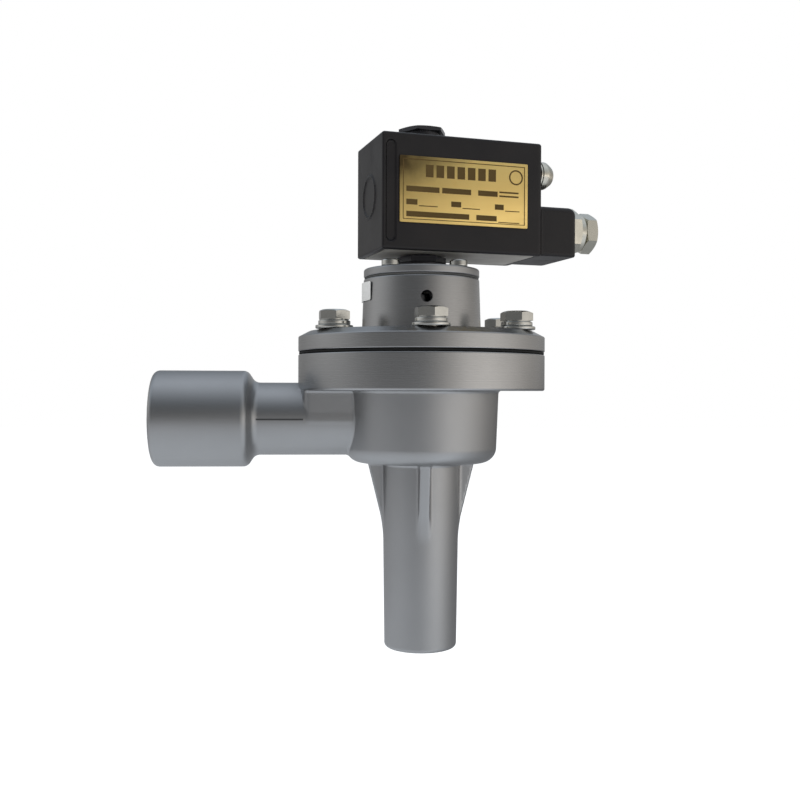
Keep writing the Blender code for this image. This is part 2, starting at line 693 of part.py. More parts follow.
def valve_body():
    """The cast body: outlet tube with its seat, ribs, bowl, flange and inlet."""
    body = turned("valve_body", [
        (0.0, FLANGE_TOP_Z, 0.0),
        (FLANGE_R, FLANGE_TOP_Z, FLANGE_EDGE_R),
        (FLANGE_R, FLANGE_UNDER_Z, FLANGE_EDGE_R),
        (BOWL_TOP_R, FLANGE_UNDER_Z, BOWL_FILLET_R),
        (BOWL_FLOOR_R, OUTLET_LENGTH, BOWL_CORNER_R),
        (OUTLET_ROOT_R, OUTLET_LENGTH, OUTLET_FILLET_R),
        (OUTLET_TIP_R, 0.0, OUTLET_EDGE_R),
        (0.0, 0.0, 0.0),
    ], "cast_aluminium", CASTING_STEPS)
    floor_z = OUTLET_LENGTH + BOWL_WALL
    bowl_space = turned("bowl_space", [
        (0.0, FLANGE_TOP_Z + OVERCUT, 0.0),
        (CHAMBER_R, FLANGE_TOP_Z + OVERCUT, 0.0),
        (CHAMBER_R, SEAT_Z, 0.0),
        (BOWL_TOP_R - BOWL_WALL, FLANGE_UNDER_Z, 0.0),
        (BOWL_FLOOR_R - BOWL_WALL, floor_z, BOWL_CORNER_R - BOWL_WALL / 2),
        (OUTLET_ROOT_R, floor_z, 0.0),
        (OUTLET_ROOT_R, SEAT_Z - SEAT_CHAMFER, 0.0),
        (OUTLET_ROOT_R - SEAT_CHAMFER, SEAT_Z, 0.0),
        (0.0, SEAT_Z, 0.0),
    ], steps=BORE_STEPS)
    outlet_bore = cylinder("outlet_bore", OUTLET_BORE_R, -OVERCUT, SEAT_Z + OVERCUT, steps=BORE_STEPS)
    unite(body, inlet_casting(), inlet_block())
    unite(body, *[outlet_rib(angle) for angle in ring_angles(RIB_COUNT, 0.0)])
    cut(body, bowl_space, outlet_bore, inlet_bore())
    cut_holes(body, "tapped_hole", BOLT_R + RUN_GAP, FLANGE_UNDER_Z - OVERCUT,
              FLANGE_TOP_Z + OVERCUT, BOLT_CIRCLE_R, bolt_angles())


def bonnet():
    """The cast bonnet: flange, diaphragm chamber, turret, pilot nozzle and vent hole."""
    chamfer_r = FLANGE_R - BONNET_CHAMFER_WIDTH
    casting = turned("bonnet", [
        (0.0, TURRET_TOP_Z, 0.0),
        (TURRET_TOP_R, TURRET_TOP_Z, FLANGE_EDGE_R),
        (TURRET_BASE_R, BONNET_TOP_Z, TURRET_FILLET_R),
        (chamfer_r, BONNET_TOP_Z, 0.0),
        (FLANGE_R, BONNET_TOP_Z - BONNET_CHAMFER_DROP, 0.0),
        (FLANGE_R, BONNET_Z, FLANGE_EDGE_R),
        (0.0, BONNET_Z, 0.0),
    ], "cast_aluminium", CASTING_STEPS)
    chamber = turned("bonnet_chamber", [
        (0.0, SPRING_POCKET_Z, 0.0),
        (SPRING_POCKET_R, SPRING_POCKET_Z, 0.0),
        (SPRING_POCKET_R, BONNET_Z + CHAMBER_HEIGHT, 0.0),
        (CHAMBER_ROOF_R, BONNET_Z + CHAMBER_HEIGHT, 0.0),
        (CHAMBER_R, BONNET_Z + CHAMBER_STEP, 0.0),
        (CHAMBER_R, BONNET_Z - OVERCUT, 0.0),
        (0.0, BONNET_Z - OVERCUT, 0.0),
    ], steps=BORE_STEPS)
    vent_chamber = turned("vent_chamber", [
        (0.0, TURRET_TOP_Z + OVERCUT, 0.0),
        (VENT_CHAMBER_R, TURRET_TOP_Z + OVERCUT, 0.0),
        (VENT_CHAMBER_R, TURRET_TOP_Z - VENT_CHAMBER_DEPTH, 0.0),
        (NOZZLE_R, TURRET_TOP_Z - VENT_CHAMBER_DEPTH, 0.0),
        (NOZZLE_R, PILOT_SEAT_Z, 0.0),
        (0.0, PILOT_SEAT_Z, 0.0),
    ], steps=BORE_STEPS)
    nozzle_bore = cylinder("nozzle_bore", NOZZLE_BORE_R, SPRING_POCKET_Z - OVERCUT,
                           PILOT_SEAT_Z + OVERCUT, steps=HOLE_STEPS)
    vent_hole = cylinder("vent_hole", VENT_HOLE_R, (NOZZLE_R + VENT_CHAMBER_R) / 2,
                         TURRET_BASE_R + OVERCUT, steps=HOLE_STEPS)
    vent_hole.rotation_euler.x = math.pi / 2
    vent_hole.location.z = TURRET_TOP_Z - VENT_HOLE_DROP
    cut(casting, chamber, vent_chamber, nozzle_bore, vent_hole)
    cut_holes(casting, "bolt_hole", BOLT_R + BOLT_HOLE_PLAY, BONNET_Z - OVERCUT,
              BONNET_TOP_Z + OVERCUT, BOLT_CIRCLE_R, bolt_angles())
    cut_holes(casting, "cover_screw_hole", COVER_SCREW_R + RUN_GAP,
              TURRET_TOP_Z - COVER_SCREW_DEPTH - OVERCUT, TURRET_TOP_Z + OVERCUT,
              COVER_SCREW_CIRCLE_R, cover_screw_angles())


def turret_sticker():
    """The paper label, bent round the turret's side."""
    middle_z = TURRET_TOP_Z - STICKER_DROP
    low_drop = STICKER_DROP + STICKER_HEIGHT / 2
    low_r = TURRET_TOP_R + (TURRET_BASE_R - TURRET_TOP_R) * low_drop / TURRET_HEIGHT
    inner_r = max(TURRET_TOP_R, low_r) + RUN_GAP
    sweep = STICKER_WIDTH / inner_r
    corners = []
    for radius, first, last in ((inner_r, -0.5, 0.5), (inner_r + STICKER_THICK, 0.5, -0.5)):
        for step in range(STICKER_STEPS + 1):
            share = first + (last - first) * step / STICKER_STEPS
            corners.append((*on_circle(radius, STICKER_CENTRE + share * sweep).xy, 0.0))
    prism("turret_sticker", corners, middle_z - STICKER_HEIGHT / 2, middle_z + STICKER_HEIGHT / 2,
          "white_label")


def flange_fasteners():
    """The hexagon bolts of the flange, each with its spring washer and flat washer."""
    flat_z = BONNET_TOP_Z + CLAMP_GAP
    spring_z = flat_z + FLAT_WASHER_THICK + CLAMP_GAP
    head_z = spring_z + SPRING_WASHER_THICK + CLAMP_GAP
    head_top_z = head_z + BOLT_HEAD_HEIGHT
    corner_r = BOLT_HEAD_ACROSS / math.sqrt(3.0)

    bolt = hexagon("bolt_form", BOLT_HEAD_ACROSS, head_z, head_top_z + OVERCUT)
    chamfer = turned("bolt_head_chamfer", [
        (0.0, head_top_z, 0.0),
        (BOLT_HEAD_CROWN_R, head_top_z, 0.0),
        (corner_r + OVERCUT, head_top_z - BOLT_HEAD_CHAMFER_DROP, 0.0),
        (corner_r + OVERCUT, head_z - OVERCUT, 0.0),
        (0.0, head_z - OVERCUT, 0.0),
    ], steps=HOLE_STEPS)
    shank = cylinder("bolt_shank", BOLT_R, FLANGE_UNDER_Z + BOLT_TIP_INSET,
                     head_z + BOLT_HEAD_HEIGHT / 2, steps=HOLE_STEPS)
    combine(bolt, chamfer, "INTERSECT")
    unite(bolt, shank)

    flat = turned("flat_washer_form", [
        (FLAT_WASHER_R, flat_z + FLAT_WASHER_THICK, 0.0),
        (FLAT_WASHER_R, flat_z, 0.0),
        (BOLT_R + RUN_GAP, flat_z, 0.0),
        (BOLT_R + RUN_GAP, flat_z + FLAT_WASHER_THICK, 0.0),
    ], steps=WASHER_STEPS)
    spring = turned("spring_washer_form", [
        (SPRING_WASHER_R, spring_z + SPRING_WASHER_THICK, 0.0),
        (SPRING_WASHER_R, spring_z, 0.0),
        (BOLT_R + RUN_GAP, spring_z, 0.0),
        (BOLT_R + RUN_GAP, spring_z + SPRING_WASHER_THICK, 0.0),
    ], steps=HOLE_STEPS)
    slit = block("spring_washer_slit", (0.0, -SPRING_WASHER_SLIT / 2, spring_z - OVERCUT),
                 (SPRING_WASHER_R + OVERCUT, SPRING_WASHER_SLIT / 2,
                  spring_z + SPRING_WASHER_THICK + OVERCUT))
    cut(spring, slit)
    for name, form, turns in (("flange_bolt", bolt, BOLT_HEAD_TURNS), ("flat_washer", flat, None),
                              ("spring_washer", spring, None)):
        place_copies(name, evaluated_mesh(form), "zinc_plated_steel", BOLT_CIRCLE_R, bolt_angles(),
                     turns)


def dished_diaphragm(name, rim_r, clamp_r, hub_r, bore_r, thick, rim_z, dish_z):
    """Returns a moulded diaphragm whose middle hangs below its clamped rim."""
    bend_r = 2 * thick
    return turned(name, [
        (rim_r, rim_z + thick, 0.0),
        (rim_r, rim_z, 0.0),
        (clamp_r, rim_z, bend_r),
        (hub_r, dish_z, bend_r),
        (bore_r, dish_z, 0.0),
        (bore_r, dish_z + thick, 0.0),
        (hub_r - thick / 4, dish_z + thick, bend_r),
        (clamp_r - thick / 4, rim_z + thick, bend_r),
    ], "black_rubber", BORE_STEPS)


def main_diaphragm():
    """The rubber diaphragm that is clamped between the flanges."""
    diaphragm = dished_diaphragm(
        "main_diaphragm", FLANGE_R - DIAPHRAGM_RIM_INSET, CHAMBER_R - DIAPHRAGM_THICK,
        BACKING_PLATE_R + 3 * DIAPHRAGM_THICK, HUB_SCREW_R + RUN_GAP, DIAPHRAGM_THICK, RIM_Z, DISH_Z)
    cut_holes(diaphragm, "diaphragm_hole", BOLT_R + BOLT_HOLE_PLAY, RIM_Z - OVERCUT,
              RIM_Z + DIAPHRAGM_THICK + OVERCUT, BOLT_CIRCLE_R, bolt_angles())


def washer(name, outer_r, inner_r, low, thick, finish_name, parent=None, steps=WASHER_STEPS):
    """Returns a flat ring."""
    return turned(name, [
        (outer_r, low + thick, 0.0),
        (outer_r, low, 0.0),
        (inner_r, low, 0.0),
        (inner_r, low + thick, 0.0),
    ], finish_name, steps, parent)


def diaphragm_hub():
    """The discs, screw and nut that are clamped to the main diaphragm and lift with it."""
    axis = joint_axis("diaphragm_axis")
    hole_r = HUB_SCREW_R + RUN_GAP
    washer("seat_disc", SEAT_DISC_R, hole_r, SEAT_DISC_Z, SEAT_DISC_THICK, "nylon", axis, BORE_STEPS)
    washer("backing_plate", BACKING_PLATE_R, hole_r, BACKING_PLATE_Z, BACKING_PLATE_THICK,
           "stainless_steel", axis, BORE_STEPS)
    nut = hexagon("hub_nut", HUB_NUT_ACROSS, HUB_TOP_Z, HUB_TOP_Z + HUB_NUT_HEIGHT,
                  "zinc_plated_steel", axis)
    thread = cylinder("hub_nut_thread", hole_r, HUB_TOP_Z - OVERCUT,
                      HUB_TOP_Z + HUB_NUT_HEIGHT + OVERCUT, steps=HOLE_STEPS)
    cut(nut, thread)
    tip_z = HUB_TOP_Z + HUB_NUT_HEIGHT + HUB_TIP_LENGTH
    head_top_z = SEAT_DISC_Z - CLAMP_GAP
    turned("hub_screw", [
        (0.0, tip_z, 0.0),
        (HUB_SCREW_R, tip_z, HUB_TIP_FILLET_R),
        (HUB_SCREW_R, head_top_z, 0.0),
        (HUB_HEAD_R, head_top_z, 0.0),
        (HUB_HEAD_R, head_top_z - HUB_HEAD_HEIGHT, HUB_HEAD_FILLET_R),
        (0.0, head_top_z - HUB_HEAD_HEIGHT, 0.0),
    ], "zinc_plated_steel", HOLE_STEPS, axis)


def pilot_stage():
    """The pilot diaphragm, the hub that lifts with it and its spring."""
    axis = joint_axis("pilot_axis")
    hole_r = RIVET_R + CLAMP_GAP
    diaphragm = dished_diaphragm(
        "pilot_diaphragm", TURRET_TOP_R - DIAPHRAGM_RIM_INSET, VENT_CHAMBER_R - PILOT_DIAPHRAGM_THICK,
        PILOT_DISC_R + PILOT_DIAPHRAGM_THICK, hole_r, PILOT_DIAPHRAGM_THICK, PILOT_RIM_Z, PILOT_DISH_Z)
    cut_holes(diaphragm, "pilot_diaphragm_hole", COVER_SCREW_R + RUN_GAP, PILOT_RIM_Z - OVERCUT,
              PILOT_RIM_Z + PILOT_DIAPHRAGM_THICK + OVERCUT, COVER_SCREW_CIRCLE_R,
              cover_screw_angles())
    washer("pilot_disc", PILOT_DISC_R, hole_r, PILOT_DISC_Z, PILOT_DISC_THICK, "nylon", axis)
    washer("pilot_plate", PILOT_PLATE_R, hole_r, PILOT_PLATE_Z, PILOT_PLATE_THICK,
           "stainless_steel", axis)
    foot_z = PILOT_DISC_Z - CLAMP_GAP
    turned("pilot_rivet", [
        (0.0, PILOT_HUB_TOP_Z + RIVET_HEAD_HEIGHT, 0.0),
        (RIVET_HEAD_R, PILOT_HUB_TOP_Z + RIVET_HEAD_HEIGHT, RIVET_FILLET_R),
        (RIVET_HEAD_R, PILOT_HUB_TOP_Z, 0.0),
        (RIVET_R, PILOT_HUB_TOP_Z, 0.0),
        (RIVET_R, foot_z, 0.0),
        (RIVET_HEAD_R, foot_z, 0.0),
        (RIVET_HEAD_R, foot_z - RIVET_HEAD_HEIGHT, RIVET_FILLET_R),
        (0.0, foot_z - RIVET_HEAD_HEIGHT, 0.0),
    ], "zinc_plated_steel", HOLE_STEPS, axis)
    coil_spring("pilot_spring", PILOT_COIL_R, PILOT_WIRE_R, PILOT_HUB_TOP_Z, COVER_Z - CLAMP_GAP,
                PILOT_TURNS)


def pilot_cover():
    """The round plate over the pilot diaphragm, with the pilot orifice in its middle."""
    spigot_z = TUBE_BASE_Z - SPIGOT_LENGTH - CLAMP_GAP
    groove_r = SPIGOT_R + CLAMP_GAP + 2 * SEAL_CORD_R + 2 * CLAMP_GAP
    groove_z = COVER_TOP_Z - 2 * SEAL_CORD_R
    boss_z = COVER_TOP_Z - PILOT_BOSS_DROP
    cover = turned("pilot_cover", [
        (0.0, COVER_TOP_Z, 0.0),
        (TURRET_TOP_R, COVER_TOP_Z, COVER_EDGE_R),
        (TURRET_TOP_R, COVER_Z, 0.0),
        (0.0, COVER_Z, 0.0),
    ], "cast_aluminium", CASTING_STEPS)
    recess = turned("cover_recess", [
        (0.0, COVER_TOP_Z + OVERCUT, 0.0),
        (groove_r, COVER_TOP_Z + OVERCUT, 0.0),
        (groove_r, groove_z, 0.0),
        (SPIGOT_R + RUN_GAP, groove_z, 0.0),
        (SPIGOT_R + RUN_GAP, spigot_z, 0.0),
        (PILOT_BOSS_R, spigot_z, 0.0),
        (PILOT_BOSS_R, boss_z, 0.0),
        (0.0, boss_z, 0.0),
    ])
    orifice = cylinder("pilot_orifice", PILOT_ORIFICE_R, COVER_Z - OVERCUT, boss_z + OVERCUT / 2,
                       steps=HOLE_STEPS)
    cut(cover, recess, orifice)
    cut_holes(cover, "cover_hole", COVER_SCREW_R + RUN_GAP, COVER_Z - OVERCUT,
              COVER_TOP_Z + OVERCUT, COVER_SCREW_CIRCLE_R, cover_screw_angles())


def cover_screws():
    """The cheese-head screws of the pilot cover."""
    head_z = COVER_TOP_Z + CLAMP_GAP
    head_top_z = head_z + COVER_SCREW_HEAD_HEIGHT
    tip_z = TURRET_TOP_Z - COVER_SCREW_DEPTH
    form = turned("cover_screw_form", [
        (0.0, head_top_z, 0.0),
        (COVER_SCREW_HEAD_R, head_top_z, COVER_SCREW_FILLET_R),
        (COVER_SCREW_HEAD_R, head_z, 0.0),
        (COVER_SCREW_R, head_z, 0.0),
        (COVER_SCREW_R, tip_z, 0.0),
        (0.0, tip_z, 0.0),
    ], steps=HOLE_STEPS)
    reach = COVER_SCREW_HEAD_R + OVERCUT
    slot = block("cover_screw_slot", (-reach, -COVER_SLOT_WIDTH / 2, head_top_z - COVER_SLOT_DEPTH),
                 (reach, COVER_SLOT_WIDTH / 2, head_top_z + OVERCUT))
    cut(form, slot)
    place_copies("cover_screw", evaluated_mesh(form), "zinc_plated_steel", COVER_SCREW_CIRCLE_R,
                 cover_screw_angles())


def armature_tube():
    """The tube that guides the plunger, with its hexagon base, fixed core and stud."""
    spigot_z = TUBE_BASE_Z - SPIGOT_LENGTH
    tube = turned("armature_tube", [
        (0.0, STUD_TOP_Z, 0.0),
        (STUD_R, STUD_TOP_Z, STUD_EDGE_R),
        (STUD_R, YOKE_TOP_Z, 0.0),
        (TUBE_R, YOKE_TOP_Z, TUBE_HEAD_EDGE_R),
        (TUBE_R, TUBE_HEX_TOP_Z - TUBE_HEX_CORE_DROP, 0.0),
        (TUBE_HEX_CORE_R, TUBE_HEX_TOP_Z - TUBE_HEX_CORE_DROP, 0.0),
        (TUBE_HEX_CORE_R, TUBE_BASE_Z + TUBE_BASE_THICK, 0.0),
        (TUBE_BASE_R, TUBE_BASE_Z + TUBE_BASE_THICK, TUBE_BASE_EDGE_R),
        (TUBE_BASE_R, TUBE_BASE_Z, 0.0),
        (SPIGOT_R, TUBE_BASE_Z, 0.0),
        (SPIGOT_R, spigot_z, 0.0),
        (TUBE_BORE_R, spigot_z, 0.0),
        (TUBE_BORE_R, CORE_Z, 0.0),
        (0.0, CORE_Z, 0.0),
    ], "black_oxide_steel", SMALL_STEPS)
    hexagon_z = TUBE_BASE_Z + TUBE_BASE_THICK / 2
    base_hexagon = hexagon("tube_hexagon", TUBE_HEX_ACROSS, hexagon_z, TUBE_HEX_TOP_Z)
    clear = cylinder("tube_hexagon_bore", (TUBE_BORE_R + TUBE_R) / 2, hexagon_z - OVERCUT,
                     TUBE_HEX_TOP_Z + OVERCUT, steps=BORE_STEPS)
    cut(base_hexagon, clear)
    unite(tube, base_hexagon)


def tube_seal():
    """The O-ring under the armature tube's base."""
    ring = bpy.data.curves.new("tube_seal", "CURVE")
    ring.dimensions = "3D"
    ring.bevel_depth = SEAL_CORD_R
    ring.bevel_resolution = 1
    ring_r = SPIGOT_R + 2 * CLAMP_GAP + SEAL_CORD_R
    spline = ring.splines.new("POLY")
    spline.points.add(WASHER_STEPS - 1)
    for point, angle in zip(spline.points, ring_angles(WASHER_STEPS, 0.0)):
        point.co = (*on_circle(ring_r, angle, COVER_TOP_Z - SEAL_CORD_R + CLAMP_GAP / 2), 1.0)
    spline.use_cyclic_u = True
    add_object("tube_seal", mesh_of_curve("tube_seal", ring), "black_rubber")


def cap():
    """The nut on the stud that holds the coil down, and the washer under it."""
    washer_z = HOUSING_TOP_Z + CLAMP_GAP
    nut_z = washer_z + CAP_WASHER_THICK + CLAMP_GAP
    hex_z = nut_z + CAP_NECK_HEIGHT
    top_z = hex_z + CAP_HEX_HEIGHT
    washer("cap_washer", CAP_WASHER_R, STUD_R + RUN_GAP, washer_z, CAP_WASHER_THICK, "black_rubber")
    nut = hexagon("cap_nut", CAP_HEX_ACROSS, hex_z, top_z, "black_oxide_steel")
    round_edges(nut, CAP_EDGE_R)
    neck = cylinder("cap_neck", CAP_NECK_R, nut_z, hex_z + CAP_HEX_HEIGHT / 2)
    thread = cylinder("cap_thread", STUD_R + RUN_GAP, nut_z - OVERCUT,
                      STUD_TOP_Z + RUN_GAP, steps=HOLE_STEPS)
    unite(nut, neck)
    cut(nut, thread)
    nut.rotation_euler.z = COIL_TURN + math.pi / 6


def plunger():
    """The plunger with its rubber seal, and the spring that presses it on the orifice."""
    axis = joint_axis("plunger_axis")
    pocket_r = PLUNGER_SEAL_R + CLAMP_GAP
    pocket_z = PLUNGER_SEAL_Z + PLUNGER_SEAL_THICK + CLAMP_GAP
    well_z = PLUNGER_TOP_Z - PLUNGER_WELL_DEPTH
    turned("plunger", [
        (0.0, well_z, 0.0),
        (PLUNGER_WELL_R, well_z, 0.0),
        (PLUNGER_WELL_R, PLUNGER_TOP_Z, 0.0),
        (PLUNGER_R, PLUNGER_TOP_Z, PLUNGER_EDGE_R),
        (PLUNGER_R, PLUNGER_Z, PLUNGER_EDGE_R),
        (pocket_r, PLUNGER_Z, 0.0),
        (pocket_r, pocket_z, 0.0),
        (0.0, pocket_z, 0.0),
    ], "stainless_steel", SMALL_STEPS, axis)
    cylinder("plunger_seal", PLUNGER_SEAL_R, PLUNGER_SEAL_Z, PLUNGER_SEAL_Z + PLUNGER_SEAL_THICK,
             "black_rubber", HOLE_STEPS, axis)
    coil_spring("plunger_spring", PLUNGER_COIL_R, PLUNGER_WIRE_R, well_z + CLAMP_GAP,
                CORE_Z - CLAMP_GAP, PLUNGER_TURNS)


def housing_outline(inset):
    """Returns the coil box's outline seen from above, drawn in by an inset."""
    half_depth = HOUSING_DEPTH / 2 - inset
    left = HOUSING_LEFT_X + inset
    right = HOUSING_RIGHT_X - inset
    soft_r = max(HOUSING_CORNER_R - inset, HOUSING_EDGE_R)
    return [
        (left, -half_depth, HOUSING_EDGE_R),
        (right, -half_depth, soft_r),
        (right, half_depth, soft_r),
        (left, half_depth, HOUSING_EDGE_R),
    ]


def coil_housing(axis):
    """The moulded box of the coil, open below, with the cable entry on its right end."""
    housing = prism("coil_housing", housing_outline(0.0), HOUSING_Z, HOUSING_TOP_Z, "black_enamel",
                    axis)
    round_edges(housing, HOUSING_EDGE_R)

    foot_z = HOUSING_Z + ENTRY_FOOT_STEP
    entry = prism("cable_entry", [
        (ENTRY_END_X, foot_z, ENTRY_FOOT_CORNER_R),
        (ENTRY_END_X, HOUSING_Z + ENTRY_HEIGHT, ENTRY_CORNER_R),
        (HOUSING_RIGHT_X - HOUSING_CORNER_R, HOUSING_Z + ENTRY_HEIGHT, 0.0),
        (HOUSING_RIGHT_X - HOUSING_CORNER_R, foot_z, 0.0),
    ], -ENTRY_DEPTH / 2, ENTRY_DEPTH / 2, parent=axis)
    entry.rotation_euler.x = math.pi / 2
    round_edges(entry, HOUSING_EDGE_R)

    ring = turned("end_ring", [
        (END_RING_R, END_RING_PROUD, 0.0),
        (END_RING_R, -HOUSING_WALL / 2, 0.0),
        (END_RING_R - END_RING_WIDTH, -HOUSING_WALL / 2, 0.0),
        (END_RING_R - END_RING_WIDTH, END_RING_PROUD, 0.0),
    ], parent=axis)
    lay_along_x(ring, -1)
    ring.location = (HOUSING_LEFT_X, 0.0, HOUSING_Z + HOUSING_HEIGHT / 2)
    unite(housing, entry, ring)

    cavity = prism("housing_cavity", housing_outline(HOUSING_WALL), HOUSING_Z - OVERCUT,
                   HOUSING_ROOF_Z, parent=axis)
    groove_x = HOUSING_LEFT_X + GROOVE_PLACE
    groove_z = HOUSING_Z + HOUSING_HEIGHT / 2
    round_r = GROOVE_WIDTH / 2
    groove = prism("front_groove", [
        (groove_x - round_r, groove_z - GROOVE_LENGTH / 2, round_r),
        (groove_x + round_r, groove_z - GROOVE_LENGTH / 2, round_r),
        (groove_x + round_r, groove_z + GROOVE_LENGTH / 2, round_r),
        (groove_x - round_r, groove_z + GROOVE_LENGTH / 2, round_r),
    ], HOUSING_DEPTH / 2 - GROOVE_DEPTH, HOUSING_DEPTH / 2 + OVERCUT, parent=axis)
    groove.rotation_euler.x = math.pi / 2
    stud_hole = cylinder("stud_hole", STUD_R + RUN_GAP, HOUSING_ROOF_Z - OVERCUT,
                         HOUSING_TOP_Z + OVERCUT, parent=axis)
    gland_hole = cylinder("gland_hole", GLAND_THREAD_R + RUN_GAP,
                          HOUSING_RIGHT_X - HOUSING_WALL - OVERCUT, ENTRY_END_X + OVERCUT,
                          parent=axis)
    lay_along_x(gland_hole, 1)
    gland_hole.location.z = GLAND_Z
    earth_hole = cylinder("earth_hole", EARTH_SCREW_R + RUN_GAP,
                          HOUSING_RIGHT_X - HOUSING_WALL - OVERCUT, HOUSING_RIGHT_X + OVERCUT,
                          steps=HOLE_STEPS, parent=axis)
    lay_along_x(earth_hole, 1)
    earth_hole.location = (0.0, EARTH_PLACE, HOUSING_Z + EARTH_HEIGHT)
    cut(housing, cavity, groove, stud_hole, gland_hole, earth_hole)


def base_plate(axis):
    """The resin plate that closes the coil box from below."""
    plate = prism("base_plate", housing_outline(HOUSING_WALL + CLAMP_GAP), HOUSING_Z,
                  HOUSING_Z + BASE_PLATE_THICK, "potting_resin", axis)
    tube_hole = cylinder("base_plate_hole", TUBE_R + RUN_GAP, HOUSING_Z - OVERCUT,
                         HOUSING_Z + BASE_PLATE_THICK + OVERCUT, steps=BORE_STEPS, parent=axis)
    cut(plate, tube_hole)


def yoke(axis):
    """The iron strap that runs round the bobbin from the tube's foot to its head."""
    half_depth = YOKE_DEPTH / 2
    web_x = BOBBIN_R + CLAMP_GAP
    low = CAVITY_FLOOR_Z
    strap = prism("yoke", [
        (-BOBBIN_R, low, 0.0),
        (web_x + YOKE_THICK, low, YOKE_BEND_R),
        (web_x + YOKE_THICK, YOKE_TOP_Z, YOKE_BEND_R),
        (-BOBBIN_R, YOKE_TOP_Z, 0.0),
        (-BOBBIN_R, YOKE_TOP_Z - YOKE_THICK, 0.0),
        (web_x, YOKE_TOP_Z - YOKE_THICK, 0.0),
        (web_x, low + YOKE_THICK, 0.0),
        (-BOBBIN_R, low + YOKE_THICK, 0.0),
    ], -half_depth, half_depth, "soft_iron", axis)
    strap.rotation_euler.x = math.pi / 2
    tube_hole = cylinder("yoke_hole", TUBE_R + RUN_GAP, low - OVERCUT, YOKE_TOP_Z + OVERCUT,
                         steps=BORE_STEPS, parent=axis)
    cut(strap, tube_hole)


def winding(axis):
    """The bobbin on the armature tube, and the copper winding on it."""
    low = CAVITY_FLOOR_Z + YOKE_THICK + CLAMP_GAP
    high = YOKE_TOP_Z - YOKE_THICK - CLAMP_GAP
    bore_r = TUBE_R + RUN_GAP
    barrel_r = bore_r + BOBBIN_WALL
    turned("bobbin", [
        (BOBBIN_R, high, 0.0),
        (BOBBIN_R, high - BOBBIN_WALL, 0.0),
        (barrel_r, high - BOBBIN_WALL, 0.0),
        (barrel_r, low + BOBBIN_WALL, 0.0),
        (BOBBIN_R, low + BOBBIN_WALL, 0.0),
        (BOBBIN_R, low, 0.0),
        (bore_r, low, 0.0),
        (bore_r, high, 0.0),
    ], "nylon", BORE_STEPS, axis)
    wire_z = low + BOBBIN_WALL + CLAMP_GAP
    washer("winding", WINDING_R, barrel_r + CLAMP_GAP, wire_z,
           high - BOBBIN_WALL - CLAMP_GAP - wire_z, "copper_wire", axis, BORE_STEPS)


def terminal_block(axis):
    """The two-pole terminal block on the floor of the box, beside the coil."""
    half_depth = TERMINAL_DEPTH / 2
    middle_x = (BOBBIN_R + YOKE_THICK + HOUSING_RIGHT_X - HOUSING_WALL) / 2
    low = CAVITY_FLOOR_Z
    top = low + TERMINAL_HEIGHT
    terminals = block("terminal_block", (middle_x - TERMINAL_LENGTH / 2, -half_depth, low),
                      (middle_x + TERMINAL_LENGTH / 2, half_depth, top), "nylon", axis)
    for number, side in enumerate((-1, 1), start=1):
        well = cylinder(f"terminal_well_{number}", TERMINAL_WELL_R, top - TERMINAL_WELL_DEPTH,
                        top + OVERCUT, steps=HOLE_STEPS, parent=axis)
        well.location = (middle_x, side * half_depth / 2, 0.0)
        cut(terminals, well)


def nameplate(axis):
    """The brass plate on the front of the coil box."""
    left = HOUSING_LEFT_X + PLATE_START
    top = HOUSING_TOP_Z - PLATE_DROP
    back = HOUSING_DEPTH / 2 + CLAMP_GAP
    plate = prism("nameplate", [
        (left, top - PLATE_HEIGHT, PLATE_CORNER_R),
        (left + PLATE_LENGTH, top - PLATE_HEIGHT, PLATE_CORNER_R),
        (left + PLATE_LENGTH, top, PLATE_CORNER_R),
        (left, top, PLATE_CORNER_R),
    ], back, back + PLATE_THICK, "etched_brass", axis)
    plate.rotation_euler.x = math.pi / 2


def earth_terminal(axis):
    """The domed earth screw on the right end of the coil box, and its washer."""
    washer_x = HOUSING_RIGHT_X + CLAMP_GAP
    head_x = washer_x + EARTH_WASHER_THICK + CLAMP_GAP
    top_x = head_x + EARTH_HEAD_HEIGHT
    tip_x = HOUSING_RIGHT_X - HOUSING_WALL - 2 * EARTH_SCREW_R
    plate = washer("earth_washer", EARTH_WASHER_R, EARTH_SCREW_R + RUN_GAP, washer_x,
                   EARTH_WASHER_THICK, "nickel_plated_brass", axis)
    screw = turned("earth_screw", [
        (0.0, top_x, 0.0),
        (EARTH_CROWN_R, top_x, EARTH_CROWN_FILLET_R),
        (EARTH_HEAD_R, head_x + EARTH_RIM_HEIGHT, EARTH_RIM_FILLET_R),
        (EARTH_HEAD_R, head_x, 0.0),
        (EARTH_SCREW_R, head_x, 0.0),
        (EARTH_SCREW_R, tip_x, 0.0),
        (0.0, tip_x, 0.0),
    ], "nickel_plated_brass", SMALL_STEPS, axis)
    for piece in (plate, screw):
        lay_along_x(piece, 1)
        piece.location = (0.0, EARTH_PLACE, HOUSING_Z + EARTH_HEIGHT)


